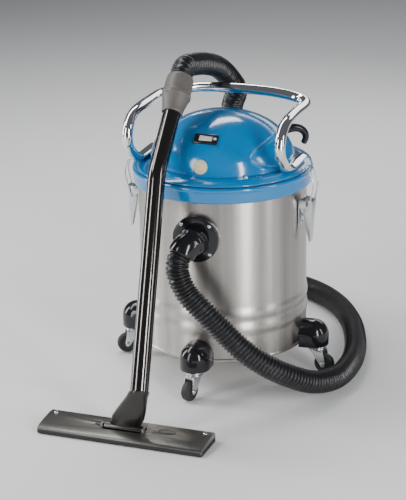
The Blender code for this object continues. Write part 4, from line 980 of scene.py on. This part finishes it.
skinned(neck, rows)
neck.faces.new(rows[0])
neck.faces.new(list(reversed(rows[-1])))
round_ends = [edge for edge in neck.edges if len(edge.link_faces) == 2 and edge.calc_face_angle(0) > 1]
bmesh.ops.bevel(neck, geom=round_ends, offset=0.8, segments=2, profile=0.6, affect="EDGES")
pivot_stand = Matrix.Translation(TOOL_PIVOT) @ across.to_track_quat("Z", "Y").to_matrix().to_4x4()
barrel_line = [(2.8, BARREL_HALF), (9, BARREL_HALF), (9, -BARREL_HALF), (2.8, -BARREL_HALF)]
barrel = spun(eased_corners(barrel_line, 1.2, closed=True), pivot_stand, 40)
wand_neck = fit("wand_neck", [neck, barrel], "tool_black", stands_for=("tool_neck",), sharp=50)
# The neck wears the darker copy of the floor tool's finish: painted shade.
wand_neck.data.materials[0] = FINISHES["neck_casting"]
pin_end = [(0, PIN_HALF), (3.4, PIN_HALF), (3.4, PIN_HALF - 1), (2.5, PIN_HALF - 1.4)]
pin_line = pin_end + [(radius, -height) for radius, height in reversed(pin_end)]
pin_shape = spun(eased_corners(pin_line, 0.3), pivot_stand, 24, closed=False)
fit("neck_pin", pin_shape, "zinc", stands_for=("tool_pivot_pin",))

# The floor tool: a low satin moulding that tilts on the neck's pin. A rubber skirt is stretched round
# its foot, two rubber strips are let in under it, and it has a screw at each back corner and a blank
# oval plate, sunk in a thin rim, beside the neck.
TOOL_HALF = 345 / 2
TOOL_DEEP = 39
SKIRT_LINE = ((0.2, 9.6), (1.1, 8.8), (1.3, 3), (0.6, 1.6), (-4, 1.6), (-4, 4.7), (0.2, 4.7))
STRIP_SIZE = (2 * (TOOL_HALF - 8), 5, 4.6, 1)
OVAL_LINE = [(0, 0.4), (10.4, 0.4), (10.8, 1.1), (11.7, 1.1), (12, 0.3), (12, -0.6), (0, -0.6)]
softened("floor_head", "tool_body", "tool_black", 1.1, body="floor_tool")
skirt = bmesh.new()
rows = []
for swell, z in SKIRT_LINE:
    edge_x, edge_y = TOOL_HALF + swell - 0.1, TOOL_DEEP + swell - 0.1
    corner = 5 + swell
    row = []
    for quarter in range(4):
        middle_x = (edge_x - corner) * (1 if quarter in (0, 3) else -1)
        middle_y = (edge_y - corner) * (1 if quarter in (0, 1) else -1)
        for step in range(7):
            turn = math.pi / 2 * (quarter + step / 6)
            at = (middle_x + corner * math.cos(turn), middle_y + corner * math.sin(turn), z)
            row.append(skirt.verts.new(at))
    rows.append(row)
skinned(skirt, [*rows, rows[0]])
stood(skirt, TOOL_STAND)
fit("rubber_skirt", skirt, "black_rubber", "floor_tool", sharp=50)
for name, y in (("front", -31), ("back", 31)):
    strip = bmesh.new()
    strip_stand = Matrix.Translation((0, y, 2.4)) @ Matrix.Diagonal(STRIP_SIZE)
    bmesh.ops.create_cube(strip, size=1, matrix=strip_stand)
    long_edges = [edge for edge in strip.edges if abs((edge.verts[0].co - edge.verts[1].co).x) > TOOL_HALF]
    bmesh.ops.bevel(strip, geom=long_edges, offset=1, segments=3, profile=0.7, affect="EDGES")
    stood(strip, TOOL_STAND)
    fit(f"rubber_strip_{name}", strip, "black_rubber", "floor_tool", (f"tool_strip_{name}",))
for name, side in (("left", -1), ("right", 1)):
    seat = TOOL_STAND @ Matrix.Translation((side * 158, 22, 21.8))
    head = screw_head(4.5, 2.6, seat)
    fit(f"floor_head_screw_{name}", head, "zinc", "floor_tool", (f"tool_screw_{name}",))
oval = spun(eased_corners(OVAL_LINE, 0.25), steps=48, closed=False)
oval_seat = TOOL_STAND @ Matrix.Translation((84, 7, 20.9)) @ Matrix.Rotation(math.radians(5), 4, "X")
stood(oval, oval_seat @ Matrix.Diagonal((1.5, 0.62, 1, 1)))
fit("blank_oval", oval, "black_plastic", "floor_tool")

# The casters: a black domed housing moulded out from the drum's foot on each side, a zinc swivel race
# and fork that turn below it, and a crowned hard wheel on a headed axle.
CUP_R = 31.5
CUP_CENTRE = 198
CUP_FOOT = 62
CUP_CROWN = CUP_FOOT + 23
SWIVEL_AT = 205
RACE_TOP = CUP_FOOT - GAP
CHEEK = 2.2
CHEEK_IN = 8.5 + 1.2
WHEEL_AT = (17, 0, 21.5)
STATIONS = (("right", 0, -8), ("rear", 90, -20), ("left", 180, 30), ("front", 270, -18))
RACE = [
    (0, RACE_TOP + 30),
    (4.8, RACE_TOP + 30),
    (4.8, RACE_TOP - 0.1),
    (18.3, RACE_TOP - 0.1),
    (20.2, RACE_TOP - 1.3),
    (20.5, RACE_TOP - 3),
    (19, RACE_TOP - 4.6),
    (17.2, RACE_TOP - 5.1),
    (17.2, RACE_TOP - 5.9),
    (19.3, RACE_TOP - 6.3),
    (19.6, RACE_TOP - 7.6),
    (18.6, RACE_TOP - 9),
    (16.6, RACE_TOP - 10.2),
    (16.2, RACE_TOP - 11),
    (0, RACE_TOP - 11),
]
CHEEK_OUTLINE = [(-11, RACE_TOP - 11), (18, RACE_TOP - 11)]
CHEEK_OUTLINE += [(22.5, 24), (21.6, 17), (17, 14.2), (12.2, 17), (7, 25)]
HALF_TREAD = [(3.3, 8.5), (6.5, 8.5), (7, 7.6), (13.2, 7.2), (14.4, 8.1)]
HALF_TREAD += [(17.4, 8.5), (19.8, 7.2), (21, 4.8), (21.5, 1.5)]
HALF_AXLE = [(0, 14.9), (2.6, 14.7), (4.4, 13.4), (4.6, 12.2), (3, 12.1)]
wheel_tread = finish("wheel_tread", (0.022, 0.022, 0.023), 0.5, 0, 0.3, 90, (2000, 2000, 2000), 0.25)
wear_and_edge_highlight(wheel_tread, (0.09, 0.085, 0.08))


def mirrored(half):
    """A profile and its mirror below, as one outline."""
    return half + [(radius, -height) for radius, height in reversed(half)]


def caster_loaf(station):
    """The housing: a wall that runs out from the drum round a domed nose, closed in to its crown."""
    loaf = bmesh.new()
    wall = [(CUP_R - 2.4, CUP_FOOT), (CUP_R - 0.7, CUP_FOOT + 0.7)]
    wall += [(CUP_R, CUP_FOOT + 2.4), (CUP_R, CUP_CROWN - 8)]
    climbs = [math.pi / 2 * number / 14 for number in range(14)]
    wall += [(CUP_R * math.cos(t), CUP_CROWN + CUP_R * math.sin(t)) for t in climbs]
    wall += [(0.8, CUP_CROWN + CUP_R - 0.02)]
    nose = [math.pi * (number / 24 - 0.5) for number in range(1, 24)]
    rows = []
    for reach, height in wall:
        start = math.sqrt((DRUM_R + 0.5) ** 2 - reach**2)
        beside = [(start + (CUP_CENTRE - start) * number / 3, -reach) for number in range(4)]
        path = [*beside, *[(CUP_CENTRE + reach * math.cos(t), reach * math.sin(t)) for t in nose]]
        path += [(x, -y) for x, y in reversed(beside)]
        rows.append([loaf.verts.new((x, y, height)) for x, y in path])
    skinned(loaf, rows)
    loaf.faces.new(list(reversed(rows[0])))
    loaf.faces.new(rows[-1])
    stood(loaf, station)
    return loaf


def fork_cheek(side, under):
    """One cheek of the fork, cut from sheet, with its rims broken."""
    cheek = bmesh.new()
    outline = eased_corners(CHEEK_OUTLINE, 3, closed=True)
    faces = []
    for lift in (0, CHEEK):
        y = side * (CHEEK_IN + lift)
        faces.append(cheek.faces.new([cheek.verts.new((x, y, z)) for x, z in outline]))
    skinned(cheek, [face.verts[:] for face in faces])
    bmesh.ops.recalc_face_normals(cheek, faces=cheek.faces)
    rims = [edge for edge in cheek.edges if edge.calc_face_angle(0) > 1]
    bmesh.ops.bevel(cheek, geom=rims, offset=0.45, segments=2, profile=0.6, affect="EDGES")
    stood(cheek, under)
    return cheek


for name, bearing, yaw in STATIONS:
    station = Matrix.Rotation(math.radians(bearing), 4, "Z")
    loaf = caster_loaf(station)
    fit(f"caster_dome_{name}", loaf, "black_plastic", stands_for=(f"caster_housing_{name}",), sharp=50)
    under = station @ Matrix.Translation((SWIVEL_AT, 0, 0)) @ Matrix.Rotation(math.radians(yaw), 4, "Z")
    crown = bmesh.new()
    crown_size = Matrix.Diagonal((29, 2 * (CHEEK_IN + CHEEK), 4, 1))
    bmesh.ops.create_cube(crown, size=1, matrix=Matrix.Translation((3.5, 0, RACE_TOP - 12)) @ crown_size)
    bmesh.ops.bevel(crown, geom=list(crown.edges), offset=1, segments=2, profile=0.6, affect="EDGES")
    stood(crown, under)
    race = spun(eased_corners(RACE, 0.7), under, 64, closed=False)
    fork = [race, crown, fork_cheek(-1, under), fork_cheek(1, under)]
    fit(f"swivel_fork_{name}", fork, "zinc", f"caster_{name}", (f"caster_fork_{name}",))
    wheel_stand = under @ Matrix.Translation(WHEEL_AT) @ Matrix.Rotation(math.pi / 2, 4, "X")
    tread = spun(eased_corners(mirrored(HALF_TREAD), 0.6, closed=True), wheel_stand, 72)
    fit(f"wheel_{name}_tread", tread, "wheel_tread", f"wheel_{name}", (f"caster_wheel_{name}",))
    axle = spun(mirrored(HALF_AXLE), wheel_stand, 24, closed=False)
    fit(f"headed_axle_{name}", axle, "zinc", f"caster_{name}", (f"caster_axle_{name}",))

# The latches, one on each side, all in zinc-plated steel: a bracket riveted to the drum, a pressed
# channel lever that swings down on its pin, and a sprung wire bail whose hook lies over the lid's edge.
LATCH_BEARING = math.radians(-6)
RIVETS_AT = (338, 352)
RIVET_LINE = ((0, 1.6), (1.6, 1.4), (2.8, 0.7), (3.2, -0.3), (0, -0.3))
BAIL_PIVOT = (193, 364)
BAIL_WIRE_R = 1.6
HALF_BAIL = [(0, 12.3, 0), (0, 13.4, 0), (0.3, 14, 2), (6, 14, 20), (13, 14, 52), (13, 14, 60), (5, 14, 82)]
HALF_BAIL += [(-1, 14, 88.5), (-6, 14, 90), (-10, 13, 90.3), (-11.5, 10, 90.5)]
for name, side in (("left", -1), ("right", 1)):
    beside = Matrix.Diagonal((side, 1, 1, 1)) @ Matrix.Rotation(LATCH_BEARING, 4, "Z")
    rivets = []
    for z in RIVETS_AT:
        seat = beside @ Matrix.Translation((DRUM_R + 3.1, 0, z)) @ Matrix.Rotation(math.pi / 2, 4, "Y")
        rivets.append(spun(RIVET_LINE, seat, 20, closed=False))
    softened(f"catch_plate_{name}", f"latch_bracket_{name}", "zinc", 0.45, extra=rivets)
    softened(f"catch_lever_{name}", f"latch_lever_{name}", "zinc", 0.4, body=f"latch_lever_{name}")
    wire = HALF_BAIL + [(x, -y, z) for x, y, z in reversed(HALF_BAIL)]
    wire = [Vector((BAIL_PIVOT[0] + x, y, BAIL_PIVOT[1] + z)) for x, y, z in wire]
    line = [beside @ at for at in eased(wire, 1.6)]
    bail = swept(line, [BAIL_WIRE_R] * len(line), 16)
    fit(f"catch_wire_{name}", bail, "zinc", f"latch_bail_{name}", (f"latch_bail_{name}",))
